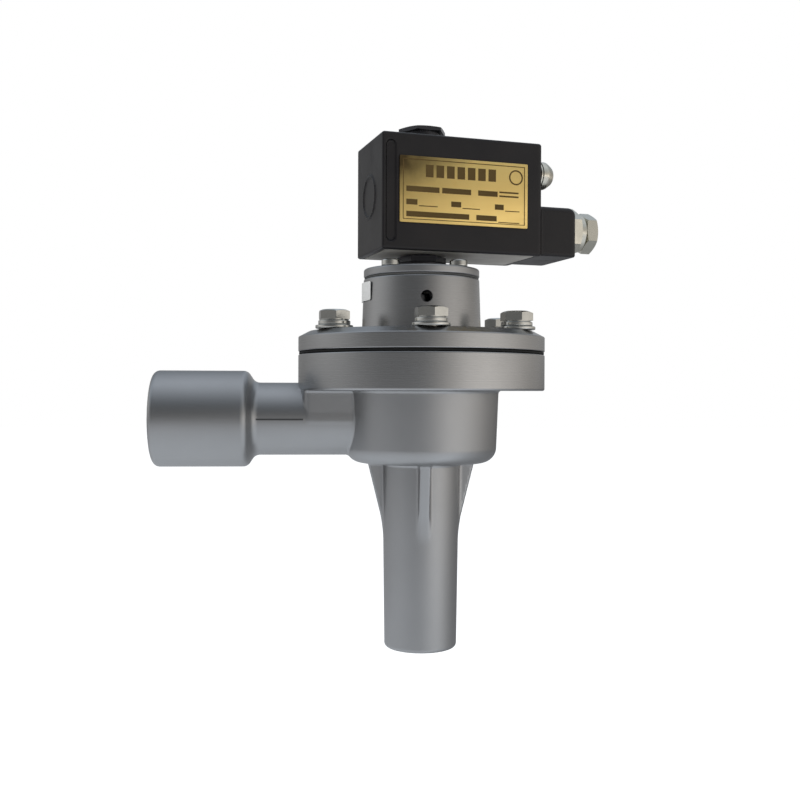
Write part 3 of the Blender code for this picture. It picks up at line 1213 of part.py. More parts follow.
def cable_gland(axis):
    """The gland body, its rubber seal, thrust ring and nut. The cable's way through is open."""
    thread_x = HOUSING_RIGHT_X - HOUSING_WALL
    hex_x = ENTRY_END_X + CLAMP_GAP
    collar_x = hex_x + GLAND_HEX_LENGTH
    mouth_x = collar_x + GLAND_COLLAR_LENGTH
    seal_x = mouth_x - GLAND_RING_THICK - CLAMP_GAP - GLAND_SEAL_LENGTH
    nut_x = mouth_x + CLAMP_GAP
    body = turned("gland_body", [
        (GLAND_COLLAR_R, mouth_x, 0.0),
        (GLAND_COLLAR_R, hex_x + GLAND_HEX_RECESS, 0.0),
        (GLAND_THREAD_R, hex_x + GLAND_HEX_RECESS, 0.0),
        (GLAND_THREAD_R, thread_x, GLAND_EDGE_R),
        (GLAND_BORE_R, thread_x, 0.0),
        (GLAND_BORE_R, seal_x - CLAMP_GAP, 0.0),
        (GLAND_POCKET_R, seal_x - CLAMP_GAP, 0.0),
        (GLAND_POCKET_R, mouth_x, 0.0),
    ], "nickel_plated_brass", SMALL_STEPS, axis)
    hex_form = hexagon("gland_hexagon", GLAND_HEX_ACROSS, hex_x, collar_x, parent=axis)
    round_edges(hex_form, GLAND_EDGE_R)
    hex_bore = cylinder("gland_hexagon_bore", (GLAND_POCKET_R + GLAND_COLLAR_R) / 2,
                        hex_x - OVERCUT, collar_x + OVERCUT, parent=axis)
    cut(hex_form, hex_bore)
    unite(body, hex_form)
    seal = turned("gland_seal", [
        (GLAND_POCKET_R - CLAMP_GAP, seal_x + GLAND_SEAL_LENGTH, 0.0),
        (GLAND_POCKET_R - CLAMP_GAP, seal_x, 0.0),
        (GLAND_SEAL_BORE_R, seal_x, 0.0),
        (GLAND_SEAL_BORE_R, seal_x + GLAND_SEAL_LENGTH, 0.0),
    ], "black_rubber", SMALL_STEPS, axis)
    ring = washer("gland_ring", GLAND_POCKET_R - CLAMP_GAP, GLAND_BORE_R,
                  mouth_x - GLAND_RING_THICK, GLAND_RING_THICK, "nickel_plated_brass", axis)
    nut = hexagon("gland_nut", GLAND_NUT_ACROSS, nut_x, nut_x + GLAND_NUT_LENGTH + OVERCUT,
                  "nickel_plated_brass", axis)
    corner_r = GLAND_NUT_ACROSS / math.sqrt(3.0)
    dome = turned("gland_nut_dome", [
        (0.0, nut_x + GLAND_NUT_LENGTH, 0.0),
        (GLAND_NUT_CROWN_R, nut_x + GLAND_NUT_LENGTH, 0.0),
        (corner_r + OVERCUT, nut_x + GLAND_NUT_LENGTH - GLAND_NUT_CHAMFER, 0.0),
        (corner_r + OVERCUT, nut_x - OVERCUT, 0.0),
        (0.0, nut_x - OVERCUT, 0.0),
    ], parent=axis)
    nut_bore = cylinder("gland_nut_bore", GLAND_BORE_R, nut_x - OVERCUT,
                        nut_x + GLAND_NUT_LENGTH + OVERCUT, parent=axis)
    combine(nut, dome, "INTERSECT")
    cut(nut, nut_bore)
    for piece in (body, hex_form, hex_bore, seal, ring, nut, dome, nut_bore):
        lay_along_x(piece, 1)
        piece.location.z = GLAND_Z


def coil():
    """Everything that turns together on the armature tube."""
    axis = joint_axis("coil_axis", COIL_TURN)
    coil_housing(axis)
    base_plate(axis)
    yoke(axis)
    winding(axis)
    terminal_block(axis)
    nameplate(axis)
    earth_terminal(axis)
    cable_gland(axis)


def shade_round_faces():
    """Shades the round faces of every piece smooth and keeps its edges sharp."""
    for obj in bpy.data.collections["pulse_valve"].objects:
        if obj.type != "MESH":
            continue
        mesh = evaluated_mesh(obj)
        obj.modifiers.clear()
        obj.data = mesh
        mesh.shade_smooth()
        mesh.set_sharp_from_angle(angle=SMOOTH_ANGLE)


def main():
    """Builds the valve from the outlet up."""
    clear_scene()
    new_collection("pulse_valve")
    new_collection("cutters")
    valve_body()
    main_diaphragm()
    diaphragm_hub()
    coil_spring("main_spring", MAIN_COIL_R, MAIN_WIRE_R, HUB_TOP_Z, SPRING_POCKET_Z - CLAMP_GAP,
                MAIN_TURNS)
    bonnet()
    turret_sticker()
    flange_fasteners()
    pilot_stage()
    pilot_cover()
    cover_screws()
    armature_tube()
    tube_seal()
    plunger()
    cap()
    coil()
    shade_round_faces()


main()
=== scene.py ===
"""Looks of a right-angle pulse valve with its pilot coil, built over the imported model.

The castings are distance fields meshed finely, turned pieces are profiles spun about their axis,
and bolts, washers, screws and the socket's thread come from Geometry Nodes. Sizes are in
millimetres and become metres when a mesh is made. The frame is the model's own: +Z up the valve,
the inlet socket towards -X, and the coil turned about Z.
"""

import logging
import math
from dataclasses import dataclass, field
from enum import Enum
from functools import reduce
from typing import Any, Callable, Optional, Sequence

import bmesh
import bpy
import numpy as np
from mathutils import Matrix, Vector


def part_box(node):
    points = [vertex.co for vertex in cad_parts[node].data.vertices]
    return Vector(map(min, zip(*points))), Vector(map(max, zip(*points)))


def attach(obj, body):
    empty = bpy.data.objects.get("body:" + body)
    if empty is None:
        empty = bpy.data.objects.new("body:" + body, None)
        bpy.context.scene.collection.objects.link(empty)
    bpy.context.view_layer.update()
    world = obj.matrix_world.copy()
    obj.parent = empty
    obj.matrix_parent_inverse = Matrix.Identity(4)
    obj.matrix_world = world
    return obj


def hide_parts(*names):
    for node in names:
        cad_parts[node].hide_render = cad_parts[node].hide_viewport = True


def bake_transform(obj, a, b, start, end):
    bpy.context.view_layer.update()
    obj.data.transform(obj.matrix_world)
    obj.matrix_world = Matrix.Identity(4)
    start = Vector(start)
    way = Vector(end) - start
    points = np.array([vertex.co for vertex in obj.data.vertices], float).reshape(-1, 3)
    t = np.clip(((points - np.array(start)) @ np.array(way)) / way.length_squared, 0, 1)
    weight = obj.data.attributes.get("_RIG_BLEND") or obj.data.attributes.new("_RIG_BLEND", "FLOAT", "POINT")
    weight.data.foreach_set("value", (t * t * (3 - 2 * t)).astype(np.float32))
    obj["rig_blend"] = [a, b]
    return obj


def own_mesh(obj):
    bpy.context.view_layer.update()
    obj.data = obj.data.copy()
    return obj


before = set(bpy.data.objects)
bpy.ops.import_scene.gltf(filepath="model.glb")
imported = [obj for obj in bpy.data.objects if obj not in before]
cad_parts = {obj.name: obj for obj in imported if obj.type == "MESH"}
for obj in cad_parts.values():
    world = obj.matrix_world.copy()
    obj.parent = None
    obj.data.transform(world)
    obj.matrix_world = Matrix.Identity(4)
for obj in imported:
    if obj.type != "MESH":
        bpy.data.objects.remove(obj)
LOG = logging.getLogger("pulse_valve")
MM = 0.001
SHARP = math.radians(32.0)
UPRIGHT = Matrix.Identity(4)
COIL_TURN = math.radians(14.0)
COIL_PLACE = Matrix.Rotation(COIL_TURN, 4, "Z")
FLANGE_R = 54.8
CHAMBER_R = 37.0
BONNET_TOP = 140.3
COVER_TOP = 168.2
BOLT_CIRCLE = 45.0
BOLT_ANGLES = (-90.0, -30.0, 30.0, 90.0, 150.0, 210.0)
SCREW_CIRCLE = 20.9
SCREW_ANGLES = (-135.0, -45.0, 45.0, 135.0)
WHITE = (1.0, 1.0, 1.0, 1.0)
Array = np.ndarray
Corner = tuple[float, ...]
Field = Callable[[Array, Array, Array], Array]
Piece = bpy.types.Object
Socket = bpy.types.NodeSocket


class Body(Enum):
    """The bodies that pieces ride on."""

    VALVE = "valve"
    COIL = "coil"


class Operation(Enum):
    """The Boolean operations between two pieces."""

    CUT = "DIFFERENCE"
    JOIN = "UNION"
    KEEP = "INTERSECT"


def round_union(a: Array, b: Array, radius: float) -> Array:
    """Joins two distance fields with a fillet."""
    corner = np.hypot(np.maximum(radius - a, 0.0), np.maximum(radius - b, 0.0))
    return np.maximum(radius, np.minimum(a, b)) - corner


def round_overlap(a: Array, b: Array, radius: float) -> Array:
    """Keeps what two distance fields share, with a rounded edge."""
    return -round_union(-a, -b, radius)


def overlap(*fields: Array) -> Array:
    """Keeps what distance fields share, with sharp edges."""
    return reduce(np.maximum, fields)


def nearest_surface(solid: Field, points: Array, reach: float) -> tuple[Array, Array]:
    """Moves points onto a field's surface.

    Args:
        solid: The distance field.
        points: Places near its surface, one row each.
        reach: The furthest that a step may move a point.

    Returns:
        The places on the surface and the field's directions there.
    """
    step = 0.02
    slopes = np.zeros_like(points)
    for _ in range(4):
        for axis, shift in enumerate(np.eye(3) * step):
            slopes[:, axis] = (solid(*(points + shift).T) - solid(*(points - shift).T)) / (2 * step)
        length = np.maximum((slopes ** 2).sum(1), 0.05)
        move = -(solid(*points.T) / length)[:, None] * slopes
        size = np.linalg.norm(move, axis=1, keepdims=True)
        points = points + move * np.minimum(1.0, reach / np.maximum(size, 1e-9))
    return points, slopes / np.linalg.norm(slopes, axis=1, keepdims=True).clip(1e-9)


def cell_points(values: Array, cells: Array) -> Array:
    """Returns the mean place, in cells, where a surface crosses the edges of each cell."""
    total = np.zeros((len(cells), 3))
    hits = np.zeros(len(cells))
    for start in np.ndindex(2, 2, 2):
        for way in np.eye(3, dtype=int)[np.array(start) == 0]:
            first = values[tuple((cells + start).T)]
            last = values[tuple((cells + start + way).T)]
            crossed = (first < 0.0) != (last < 0.0)
            share = np.where(crossed, first / np.where(crossed, first - last, 1.0), 0.0)
            total += np.where(crossed[:, None], start + share[:, None] * way, 0.0)
            hits += crossed
    return cells + total / hits[:, None]


def cell_quads(inside: Array, number: Array) -> Array:
    """Returns the faces between the numbered cells round each crossed line of the grid."""
    quads = []
    for axis in range(3):
        one, two = (axis + 1) % 3, (axis + 2) % 3
        near = [slice(1, -1)] * 3
        far = list(near)
        near[axis], far[axis] = slice(0, -1), slice(1, None)
        here, there = inside[tuple(near)], inside[tuple(far)]
        for crossed, order in ((here & ~there, 1), (~here & there, -1)):
            at_line = np.argwhere(crossed)
            ring = []
            for ahead_one, ahead_two in ((0, 0), (1, 0), (1, 1), (0, 1)):
                spot = at_line.copy()
                spot[:, one] += ahead_one
                spot[:, two] += ahead_two
                ring.append(number[tuple(spot.T)])
            quads.append(np.stack(ring[::order], axis=1))
    return np.concatenate(quads)


def meshed_field(name: str, solid: Field, low: Corner, high: Corner, cell: float,
                 place: Matrix = UPRIGHT) -> Piece:
    """Meshes a distance field with one vertex in each cell that its surface crosses.

    Args:
        name: The new object's name.
        solid: The distance field, negative inside.
        low: Lowest corner of the space to mesh, in millimetres.
        high: Highest corner of it.
        cell: Side of one cell.
        place: Where the finished mesh goes, in metres.

    Returns:
        The object, with the field's own directions as its normals.
    """
    values = solid(*np.meshgrid(*(np.arange(a, b + cell, cell) for a, b in zip(low, high)), indexing="ij"))
    inside = values < 0.0
    size = np.array(inside.shape) - 1
    counts = sum(inside[tuple(slice(k, k + n) for k, n in zip(start, size))].astype(np.int8)
                 for start in np.ndindex(2, 2, 2))
    cells = np.argwhere((counts > 0) & (counts < 8))
    number = np.full(counts.shape, -1, np.int64)
    number[tuple(cells.T)] = np.arange(len(cells))
    points = np.array(low) + cell * cell_points(values, cells)
    points, normals = nearest_surface(solid, points, cell / 2)
    faces = cell_quads(inside, number)
    mesh = bpy.data.meshes.new(name)
    mesh.vertices.add(len(points))
    mesh.vertices.foreach_set("co", (points * MM).astype(np.float32).ravel())
    mesh.loops.add(faces.size)
    mesh.loops.foreach_set("vertex_index", faces.astype(np.int32).ravel())
    mesh.polygons.add(len(faces))
    mesh.polygons.foreach_set("loop_start", np.arange(0, faces.size, 4, dtype=np.int32))
    mesh.update(calc_edges=True)
    mesh.validate()
    mesh.shade_smooth()
    mesh.normals_split_custom_set_from_vertices(normals.tolist())
    mesh.transform(place)
    return linked(name, mesh)


def linked(name: str, data: Any) -> Piece:
    """Returns a new object in the scene that shows a mesh, a lamp or a camera."""
    piece = bpy.data.objects.new(name, data)
    bpy.context.scene.collection.objects.link(piece)
    return piece


def at(x: float, y: float, z: float) -> Matrix:
    """Returns the matrix of a place in millimetres."""
    return Matrix.Translation(Vector((x, y, z)) * MM)


def turn(degrees: float, axis: str = "Z") -> Matrix:
    """Returns the matrix of a turn about an axis."""
    return Matrix.Rotation(math.radians(degrees), 4, axis)


def on_circle(radius: float, degrees: float) -> Vector:
    """Returns a place on a circle about the valve's axis, in millimetres."""
    angle = math.radians(degrees)
    return Vector((radius * math.cos(angle), radius * math.sin(angle), 0.0))


def filleted(corners: Sequence[Corner], facet: float = 0.35, guard: float = 0.2) -> list[Vector]:
    """Draws an outline through corners.

    Args:
        corners: (x, y) or (x, y, fillet radius) of each corner, in millimetres.
        facet: Length of the short lines that make a fillet.
        guard: Length of the line beside a fillet that keeps its shading off the long ones.

    Returns:
        The outline's points.
    """
    shortest = 0.03
    outline = []
    for index, (x, y, *rounding) in enumerate(corners):
        corner = Vector((x, y))
        if not any(rounding):
            outline.append(corner)
            continue
        back = Vector(corners[index - 1][:2]) - corner
        ahead = Vector(corners[(index + 1) % len(corners)][:2]) - corner
        half = back.angle(ahead) / 2
        reach = min(rounding[0] / math.tan(half), 0.48 * back.length, 0.48 * ahead.length)
        before, after = (min(guard, 0.49 * run.length - reach) for run in (back, ahead))
        back.normalize()
        ahead.normalize()
        centre = corner + (back + ahead).normalized() * reach / math.cos(half)
        start, end = corner + back * reach - centre, corner + ahead * reach - centre
        sweep = math.atan2(start.x * end.y - start.y * end.x, start.dot(end))
        steps = max(2, math.ceil(abs(sweep) * start.length / facet))
        if before > shortest:
            outline.append(centre + start + back * before)
        outline.extend(centre + Matrix.Rotation(sweep * k / steps, 2) @ start for k in range(steps + 1))
        if after > shortest:
            outline.append(centre + end + ahead * after)
    return outline


def smoothed(mesh: bpy.types.Mesh) -> bpy.types.Mesh:
    """Shades a mesh smooth between its sharp edges."""
    mesh.shade_smooth()
    mesh.set_sharp_from_angle(angle=SHARP)
    return mesh


def finished(name: str, shape: bmesh.types.BMesh, place: Matrix = UPRIGHT) -> Piece:
    """Turns a working mesh in millimetres into a piece at the origin, and frees the working mesh."""
    bmesh.ops.remove_doubles(shape, verts=shape.verts, dist=0.0005)
    bmesh.ops.recalc_face_normals(shape, faces=shape.faces)
    mesh = bpy.data.meshes.new(name)
    shape.to_mesh(mesh)
    shape.free()
    mesh.transform(place @ Matrix.Diagonal((MM, MM, MM, 1.0)))
    return linked(name, smoothed(mesh))


def skinned(shape: bmesh.types.BMesh, rows: Sequence[list[bmesh.types.BMVert]]) -> None:
    """Joins closed rings of points by faces; a ring of one repeated point gives a fan."""
    for first, second in zip(rows, rows[1:]):
        for k in range(len(first)):
            face = list(dict.fromkeys((first[k - 1], first[k], second[k], second[k - 1])))
            if len(face) > 2:
                shape.faces.new(face)


def ring_of_points(shape: bmesh.types.BMesh, radius: float, height: float,
                   steps: int) -> list[bmesh.types.BMVert]:
    """Adds a level ring of points about the axis to a working mesh."""
    if radius <= 1e-6:
        return [shape.verts.new((0.0, 0.0, height))] * steps
    angles = [math.tau * k / steps for k in range(steps)]
    return [shape.verts.new((radius * math.cos(a), radius * math.sin(a), height)) for a in angles]


def turned(name: str, corners: Sequence[Corner], steps: int = 64, place: Matrix = UPRIGHT) -> Piece:
    """Spins a profile about its axis.

    Args:
        name: The piece's name.
        corners: (radius, height, fillet) of each corner. A profile that starts and ends on the
            axis is a solid one, and any other is a ring.
        steps: Facets of one turn.
        place: Where the mesh goes, in metres.

    Returns:
        The piece.
    """
    shape = bmesh.new()
    rows = [ring_of_points(shape, point.x, point.y, steps) for point in filleted(corners)]
    skinned(shape, rows if corners[0][0] == corners[-1][0] == 0 else [*rows, rows[0]])
    return finished(name, shape, place)


def ring(name: str, outer: float, inner: float, low: float, high: float, rounds: Corner, steps: int = 64,
         place: Matrix = UPRIGHT) -> Piece:
    """Makes a plain ring.

    Args:
        name: The piece's name.
        outer: Its outer radius.
        inner: Its inner radius.
        low: Lower height.
        high: Upper height.
        rounds: Fillets of the outer top, outer foot, inner foot and inner top.
        steps: Facets of one turn.
        place: Where the mesh goes, in metres.

    Returns:
        The piece.
    """
    spots = ((outer, high), (outer, low), (inner, low), (inner, high))
    return turned(name, [(*spot, rounding) for spot, rounding in zip(spots, rounds)], steps, place)


def hole(name: str, radius: float, low: float, high: float, place: Matrix = UPRIGHT, steps: int = 40,
         sink: Optional[float] = None) -> Piece:
    """Makes the cutter of a round hole.

    Args:
        name: The cutter's name.
        radius: The hole's radius.
        low: Its lower end.
        high: Its upper end.
        place: Where the mesh goes, in metres.
        steps: Facets of one turn.
        sink: Depth of the chamfer at the upper end, above which the cutter goes on and widens.

    Returns:
        The cutter.
    """
    mouth = [(radius, high)] if sink is None else [(radius + sink + 1.0, high + 1.0), (radius, high - sink)]
    return turned(name, [(0, mouth[0][1]), *mouth, (radius, low), (0, low)], steps, place)


def prism(name: str, corners: Sequence[Corner], low: float, high: float, place: Matrix = UPRIGHT) -> Piece:
    """Extrudes an outline of (x, y) or (x, y, fillet) corners between two heights."""
    shape = bmesh.new()
    outline = filleted(corners)
    foot, head = ([shape.verts.new((point.x, point.y, level)) for point in outline] for level in (low, high))
    shape.faces.new(foot)
    shape.faces.new(head)
    skinned(shape, [foot, head])
    return finished(name, shape, place)


def oblong(left: float, right: float, low: float, high: float, rounding: float = 0.0) -> list[Corner]:
    """Returns the corners of an upright rectangle."""
    return [(left, low, rounding), (right, low, rounding), (right, high, rounding), (left, high, rounding)]


def hexagon(name: str, across: float, low: float, high: float, crown: float, drop: float,
            place: Matrix = UPRIGHT, both_ends: bool = False) -> Piece:
    """Makes a hexagon whose corners are turned down to a round crown, as on a nut.

    Args:
        name: The piece's name.
        across: Size across the flats.
        low: Lower height.
        high: Upper height.
        crown: Radius of the flat round crown.
        drop: How far the chamfer falls at the corners.
        place: Where the mesh goes, in metres.
        both_ends: Whether the lower end has the chamfer too.

    Returns:
        The piece, with a corner at +X before it is placed.
    """
    corner = across / math.sqrt(3.0)
    body = prism(name, [on_circle(corner, 60 * k).to_2d() for k in range(6)], low, high, place)
    wide = corner + 1.0
    fall = drop * (wide - crown) / (corner - crown)
    foot = [(wide, low - 1), (0, low - 1)]
    if both_ends:
        foot = [(wide, low + fall), (crown, low, 0.3), (0, low)]
    profile = [(0, high), (crown, high, 0.3), (wide, high - fall), *foot]
    return combined(body, Operation.KEEP, turned(f"{name}_turning", profile, 96, place))


def combined(piece: Piece, operation: Operation, *tools: Piece) -> Piece:
    """Applies Booleans to a piece and removes the tools.

    Args:
        piece: The piece that is changed.
        operation: What is done with each tool.
        tools: The pieces to cut, join or keep with.

    Returns:
        The changed piece.
    """
    for tool in tools:
        modifier = piece.modifiers.new(tool.name, "BOOLEAN")
        modifier.operation = operation.value
        modifier.solver = "EXACT"
        modifier.object = tool
    applied(piece)
    for tool in tools:
        bpy.data.objects.remove(tool, do_unlink=True)
    smoothed(piece.data)
    return piece


def applied(piece: Piece) -> Piece:
    """Replaces a piece's mesh by its evaluated one, without modifiers."""
    bpy.context.view_layer.update()
    evaluated = piece.evaluated_get(bpy.context.evaluated_depsgraph_get())
    mesh = bpy.data.meshes.new_from_object(evaluated)
    piece.modifiers.clear()
    piece.data = mesh
    return piece


def softened(piece: Piece, radius: float) -> Piece:
    """Rounds the sharp edges of a piece by a radius in millimetres."""
    bevel = piece.modifiers.new("edge", "BEVEL")
    bevel.width = radius * MM
    bevel.segments = 2
    bevel.limit_method = "ANGLE"
    bevel.angle_limit = math.radians(40.0)
    smoothed(applied(piece).data)
    return piece


def joined(name: str, pieces: Sequence[Piece]) -> Piece:
    """Puts the meshes of several pieces into one and removes the rest."""
    shape = bmesh.new()
    for piece in pieces:
        shape.from_mesh(piece.data)
        bpy.data.objects.remove(piece, do_unlink=True)
    mesh = bpy.data.meshes.new(name)
    shape.to_mesh(mesh)
    shape.free()
    return linked(name, smoothed(mesh))


def spring_coil(name: str, coil_r: float, wire_r: float, low: float, high: float, turns: int) -> Piece:
    """Winds a spring with closed end turns.

    Args:
        name: The piece's name.
        coil_r: Radius of the coil to the wire's middle.
        wire_r: Radius of the wire.
        low: Height of its foot.
        high: Height of its head.
        turns: Turns in all.

    Returns:
        The spring.
    """
    per_turn, around = 40, 10
    end_rise = 2.3 * wire_r
    body_rise = (high - low - 2 * wire_r - 2 * end_rise) / (turns - 2)
    shape = bmesh.new()
    rings = []
    for index in range(turns * per_turn + 1):
        wound = index / per_turn
        rise = body_rise * min(max(wound - 1.0, 0.0), turns - 2.0)
        rise += end_rise * (min(wound, 1.0) + max(wound - turns + 1.0, 0.0))
        out = on_circle(1.0, 360.0 * wound)
        middle = out * coil_r + Vector((0.0, 0.0, low + wire_r + rise))
        angles = [math.tau * k / around for k in range(around)]
        rings.append([shape.verts.new(middle + wire_r * (math.cos(a) * out + Vector((0, 0, math.sin(a)))))
                      for a in angles])
    skinned(shape, rings)
    shape.faces.new(rings[0])
    shape.faces.new(rings[-1])
    return finished(name, shape)


class Sheet:
    """Writes the nodes of one tree, with each input given as a value or as a socket."""

    def __init__(self, tree: bpy.types.NodeTree) -> None:
        """Takes the tree that the nodes go into."""
        self.tree = tree

    def add(self, kind: str, inputs: Optional[dict[Any, Any]] = None, **settings: Any) -> bpy.types.Node:
        """Adds a node.

        Args:
            kind: The node's type.
            inputs: Value or output socket of each named or numbered input.
            settings: The node's own settings.

        Returns:
            The node.
        """
        node = self.tree.nodes.new(kind)
        for key, value in settings.items():
            setattr(node, key, value)
        for key, value in (inputs or {}).items():
            self.give(node.inputs[key], value)
        return node

    def give(self, target: Socket, value: Any) -> None:
        """Sets an input to a value or links it to a socket."""
        if isinstance(value, Socket):
            self.tree.links.new(value, target)
        else:
            target.default_value = value

    def math(self, operation: str, first: Any, second: Any = 0.0) -> Socket:
        """Adds a Math node and returns its output."""
        return self.add("ShaderNodeMath", {0: first, 1: second}, operation=operation).outputs[0]

    def plus(self, *values: Any) -> Socket:
        """Adds values."""
        return reduce(lambda first, second: self.math("ADD", first, second), values)

    def times(self, *values: Any) -> Socket:
        """Multiplies values."""
        return reduce(lambda first, second: self.math("MULTIPLY", first, second), values)

    def ramp(self, value: Any, low: Any, high: Any, first: Any = 0.0, last: Any = 1.0) -> Socket:
        """Maps a value from a range to another one and keeps it within."""
        inputs = {"Value": value, "From Min": low, "From Max": high, "To Min": first, "To Max": last}
        return self.add("ShaderNodeMapRange", inputs).outputs[0]

    def mix(self, share: Any, first: Any, second: Any, blend: str = "MIX") -> Socket:
        """Mixes two colours and returns the result."""
        inputs = {0: share, 6: first, 7: second}
        return self.add("ShaderNodeMix", inputs, data_type="RGBA", blend_type=blend).outputs[2]

    def spot(self) -> Socket:
        """Returns the place on the piece, which doesn't move with the camera."""
        return self.add("ShaderNodeTexCoord").outputs["Object"]

    def split(self, vector: Socket) -> Any:
        """Returns the three parts of a vector."""
        return self.add("ShaderNodeSeparateXYZ", {0: vector}).outputs

    def radius(self, place: Any) -> Socket:
        """Returns the distance of a place, given by its parts, from the upright axis."""
        return self.math("SQRT", self.plus(*(self.times(place[k], place[k]) for k in range(2))))

    def upright(self, rotation: Any) -> Socket:
        """Returns the vector of a turn about Z in radians."""
        return self.add("ShaderNodeCombineXYZ", {2: rotation}).outputs[0]

    def noise(self, vector: Any, scale: Any, detail: float, roughness: float = 0.5,
              distortion: float = 0.0) -> Socket:
        """Returns a noise's value."""
        return self.add("ShaderNodeTexNoise", {
            "Vector": vector, "Scale": scale, "Detail": detail, "Roughness": roughness,
            "Distortion": distortion}).outputs[0]


class Effect(Enum):
    """The shared shader effects: the node group's name and its inputs."""

    GRAIN = "fine_grain", ("Scale", "Patch Scale")
    TURNING = "turning_marks", ("Lines",)
    WEAR = "edge_wear", ()
    SMUDGE = "handling_smudges", ("Cover",)
    DUST = "settled_dust", ("Cover",)
    BRUSH = "brushed_lines", ("Turn",)
    # Painted shade on the brass plate, spreading from its upper left corner.
    PAINTED_SHADE = "plate_patina", ("Turn", "Left", "Top")


class Effects:
    """Builds the shared shader node groups at their first use."""

    def group(self, effect: Effect) -> bpy.types.NodeTree:
        """Returns the node group of an effect."""
        name, inputs = effect.value
        if name in bpy.data.node_groups:
            return bpy.data.node_groups[name]
        makers = {
            Effect.GRAIN: self.grain, Effect.TURNING: self.turning, Effect.WEAR: self.wear,
            Effect.SMUDGE: self.smudge, Effect.DUST: self.dust, Effect.BRUSH: self.brush,
            Effect.PAINTED_SHADE: self.painted_shade}
        tree = bpy.data.node_groups.new(name, "ShaderNodeTree")
        for key in inputs:
            tree.interface.new_socket(key, in_out="INPUT", socket_type="NodeSocketFloat")
        made = makers[effect](Sheet(tree), tree.nodes.new("NodeGroupInput").outputs)
        for key in made:
            tree.interface.new_socket(key, in_out="OUTPUT", socket_type="NodeSocketFloat")
        end = tree.nodes.new("NodeGroupOutput")
        for key, socket in made.items():
            tree.links.new(socket, end.inputs[key])
        return tree

    @staticmethod
    def grain(sheet: Sheet, given: Any) -> dict[str, Socket]:
        """Fine pits and a slow unevenness, for cast and moulded surfaces."""
        slow = sheet.noise(sheet.spot(), given["Patch Scale"], 4.0, 0.55)
        return {"Height": sheet.noise(sheet.spot(), given["Scale"], 3.0, 0.6),
                "Patches": sheet.ramp(slow, 0.3, 0.7)}

    @staticmethod
    def turning(sheet: Sheet, given: Any) -> dict[str, Socket]:
        """Lines that a lathe leaves: level rings on sides and circles on faces."""
        place = sheet.split(sheet.spot())
        normal = sheet.split(sheet.add("ShaderNodeNewGeometry").outputs["Normal"])
        flat = sheet.math("GREATER_THAN", sheet.math("ABSOLUTE", normal[2]), 0.8)
        steep = sheet.math("SUBTRACT", 1.0, flat)
        along = sheet.plus(sheet.times(sheet.radius(place), flat), sheet.times(place[2], steep))
        lines = sheet.add("ShaderNodeTexNoise", {
            "W": sheet.times(along, given["Lines"]), "Scale": 1.0, "Detail": 3.0, "Roughness": 0.6},
            noise_dimensions="1D")
        return {"Height": lines.outputs[0]}

    @staticmethod
    def wear(sheet: Sheet, given: Any) -> dict[str, Socket]:
        """Where the surface bends outwards, broken up by noise."""
        bend = sheet.add("ShaderNodeNewGeometry").outputs["Pointiness"]
        broken = sheet.ramp(sheet.noise(sheet.spot(), 260.0, 4.0), 0.35, 0.65, 0.3, 1.0)
        return {"Mask": sheet.times(sheet.ramp(bend, 0.52, 0.6), broken)}

    @staticmethod
    def smudge(sheet: Sheet, given: Any) -> dict[str, Socket]:
        """Soft blots left by handling, stretched a little upwards."""
        place = sheet.add("ShaderNodeMapping", {"Vector": sheet.spot(), "Scale": (1.0, 1.0, 0.45)})
        edge = sheet.math("SUBTRACT", 0.72, sheet.times(given["Cover"], 0.4))
        blots = sheet.noise(place.outputs[0], 60.0, 5.0, 0.62, 0.6)
        return {"Mask": sheet.ramp(blots, edge, sheet.plus(edge, 0.14))}

    @staticmethod
    def dust(sheet: Sheet, given: Any) -> dict[str, Socket]:
        """Fine dust on faces that look up."""
        up = sheet.split(sheet.add("ShaderNodeNewGeometry").outputs["Normal"])[2]
        grains = sheet.ramp(sheet.noise(sheet.spot(), 420.0, 6.0, 0.7), 0.45, 0.75)
        return {"Mask": sheet.times(sheet.ramp(up, 0.55, 0.95), grains, given["Cover"])}

    @staticmethod
    def brush(sheet: Sheet, given: Any) -> dict[str, Socket]:
        """Short lines along the direction that a sheet was brushed in."""
        place = sheet.add("ShaderNodeMapping", {
            "Vector": sheet.spot(), "Rotation": sheet.upright(given["Turn"]), "Scale": (60.0, 200.0, 3200.0)})
        return {"Height": sheet.noise(place.outputs[0], 1.0, 3.0, 0.65)}

    @staticmethod
    def painted_shade(sheet: Sheet, given: Any) -> dict[str, Socket]:
        """Painted shade that starts at one upper corner of a plate and fades across it."""
        place = sheet.add("ShaderNodeMapping", {
            "Vector": sheet.spot(), "Rotation": sheet.upright(given["Turn"])}).outputs[0]
        spot = sheet.split(place)
        across = sheet.math("SUBTRACT", spot[0], given["Left"])
        below = sheet.times(sheet.math("SUBTRACT", given["Top"], spot[2]), 1.6)
        uneven = sheet.ramp(sheet.noise(place, 70.0, 4.0, 0.6), 0.3, 0.7, -0.006, 0.006)
        return {"Mask": sheet.ramp(sheet.plus(across, below, uneven), 0.034, 0.002)}


EFFECTS = Effects()


class Slot(Enum):
    """The record's material slots."""

    ALUMINIUM = "cast_aluminium"
    ZINC = "zinc_plated_steel"
    SPRING = "spring_steel"
    RUBBER = "black_rubber"
    ENAMEL = "black_enamel"
    OXIDE = "black_oxide_steel"
    STAINLESS = "stainless_steel"
    NICKEL = "nickel_plated_brass"
    BRASS = "etched_brass"
    LABEL = "white_label"
    RESIN = "potting_resin"
    NYLON = "nylon"
    COPPER = "copper_wire"
    IRON = "soft_iron"


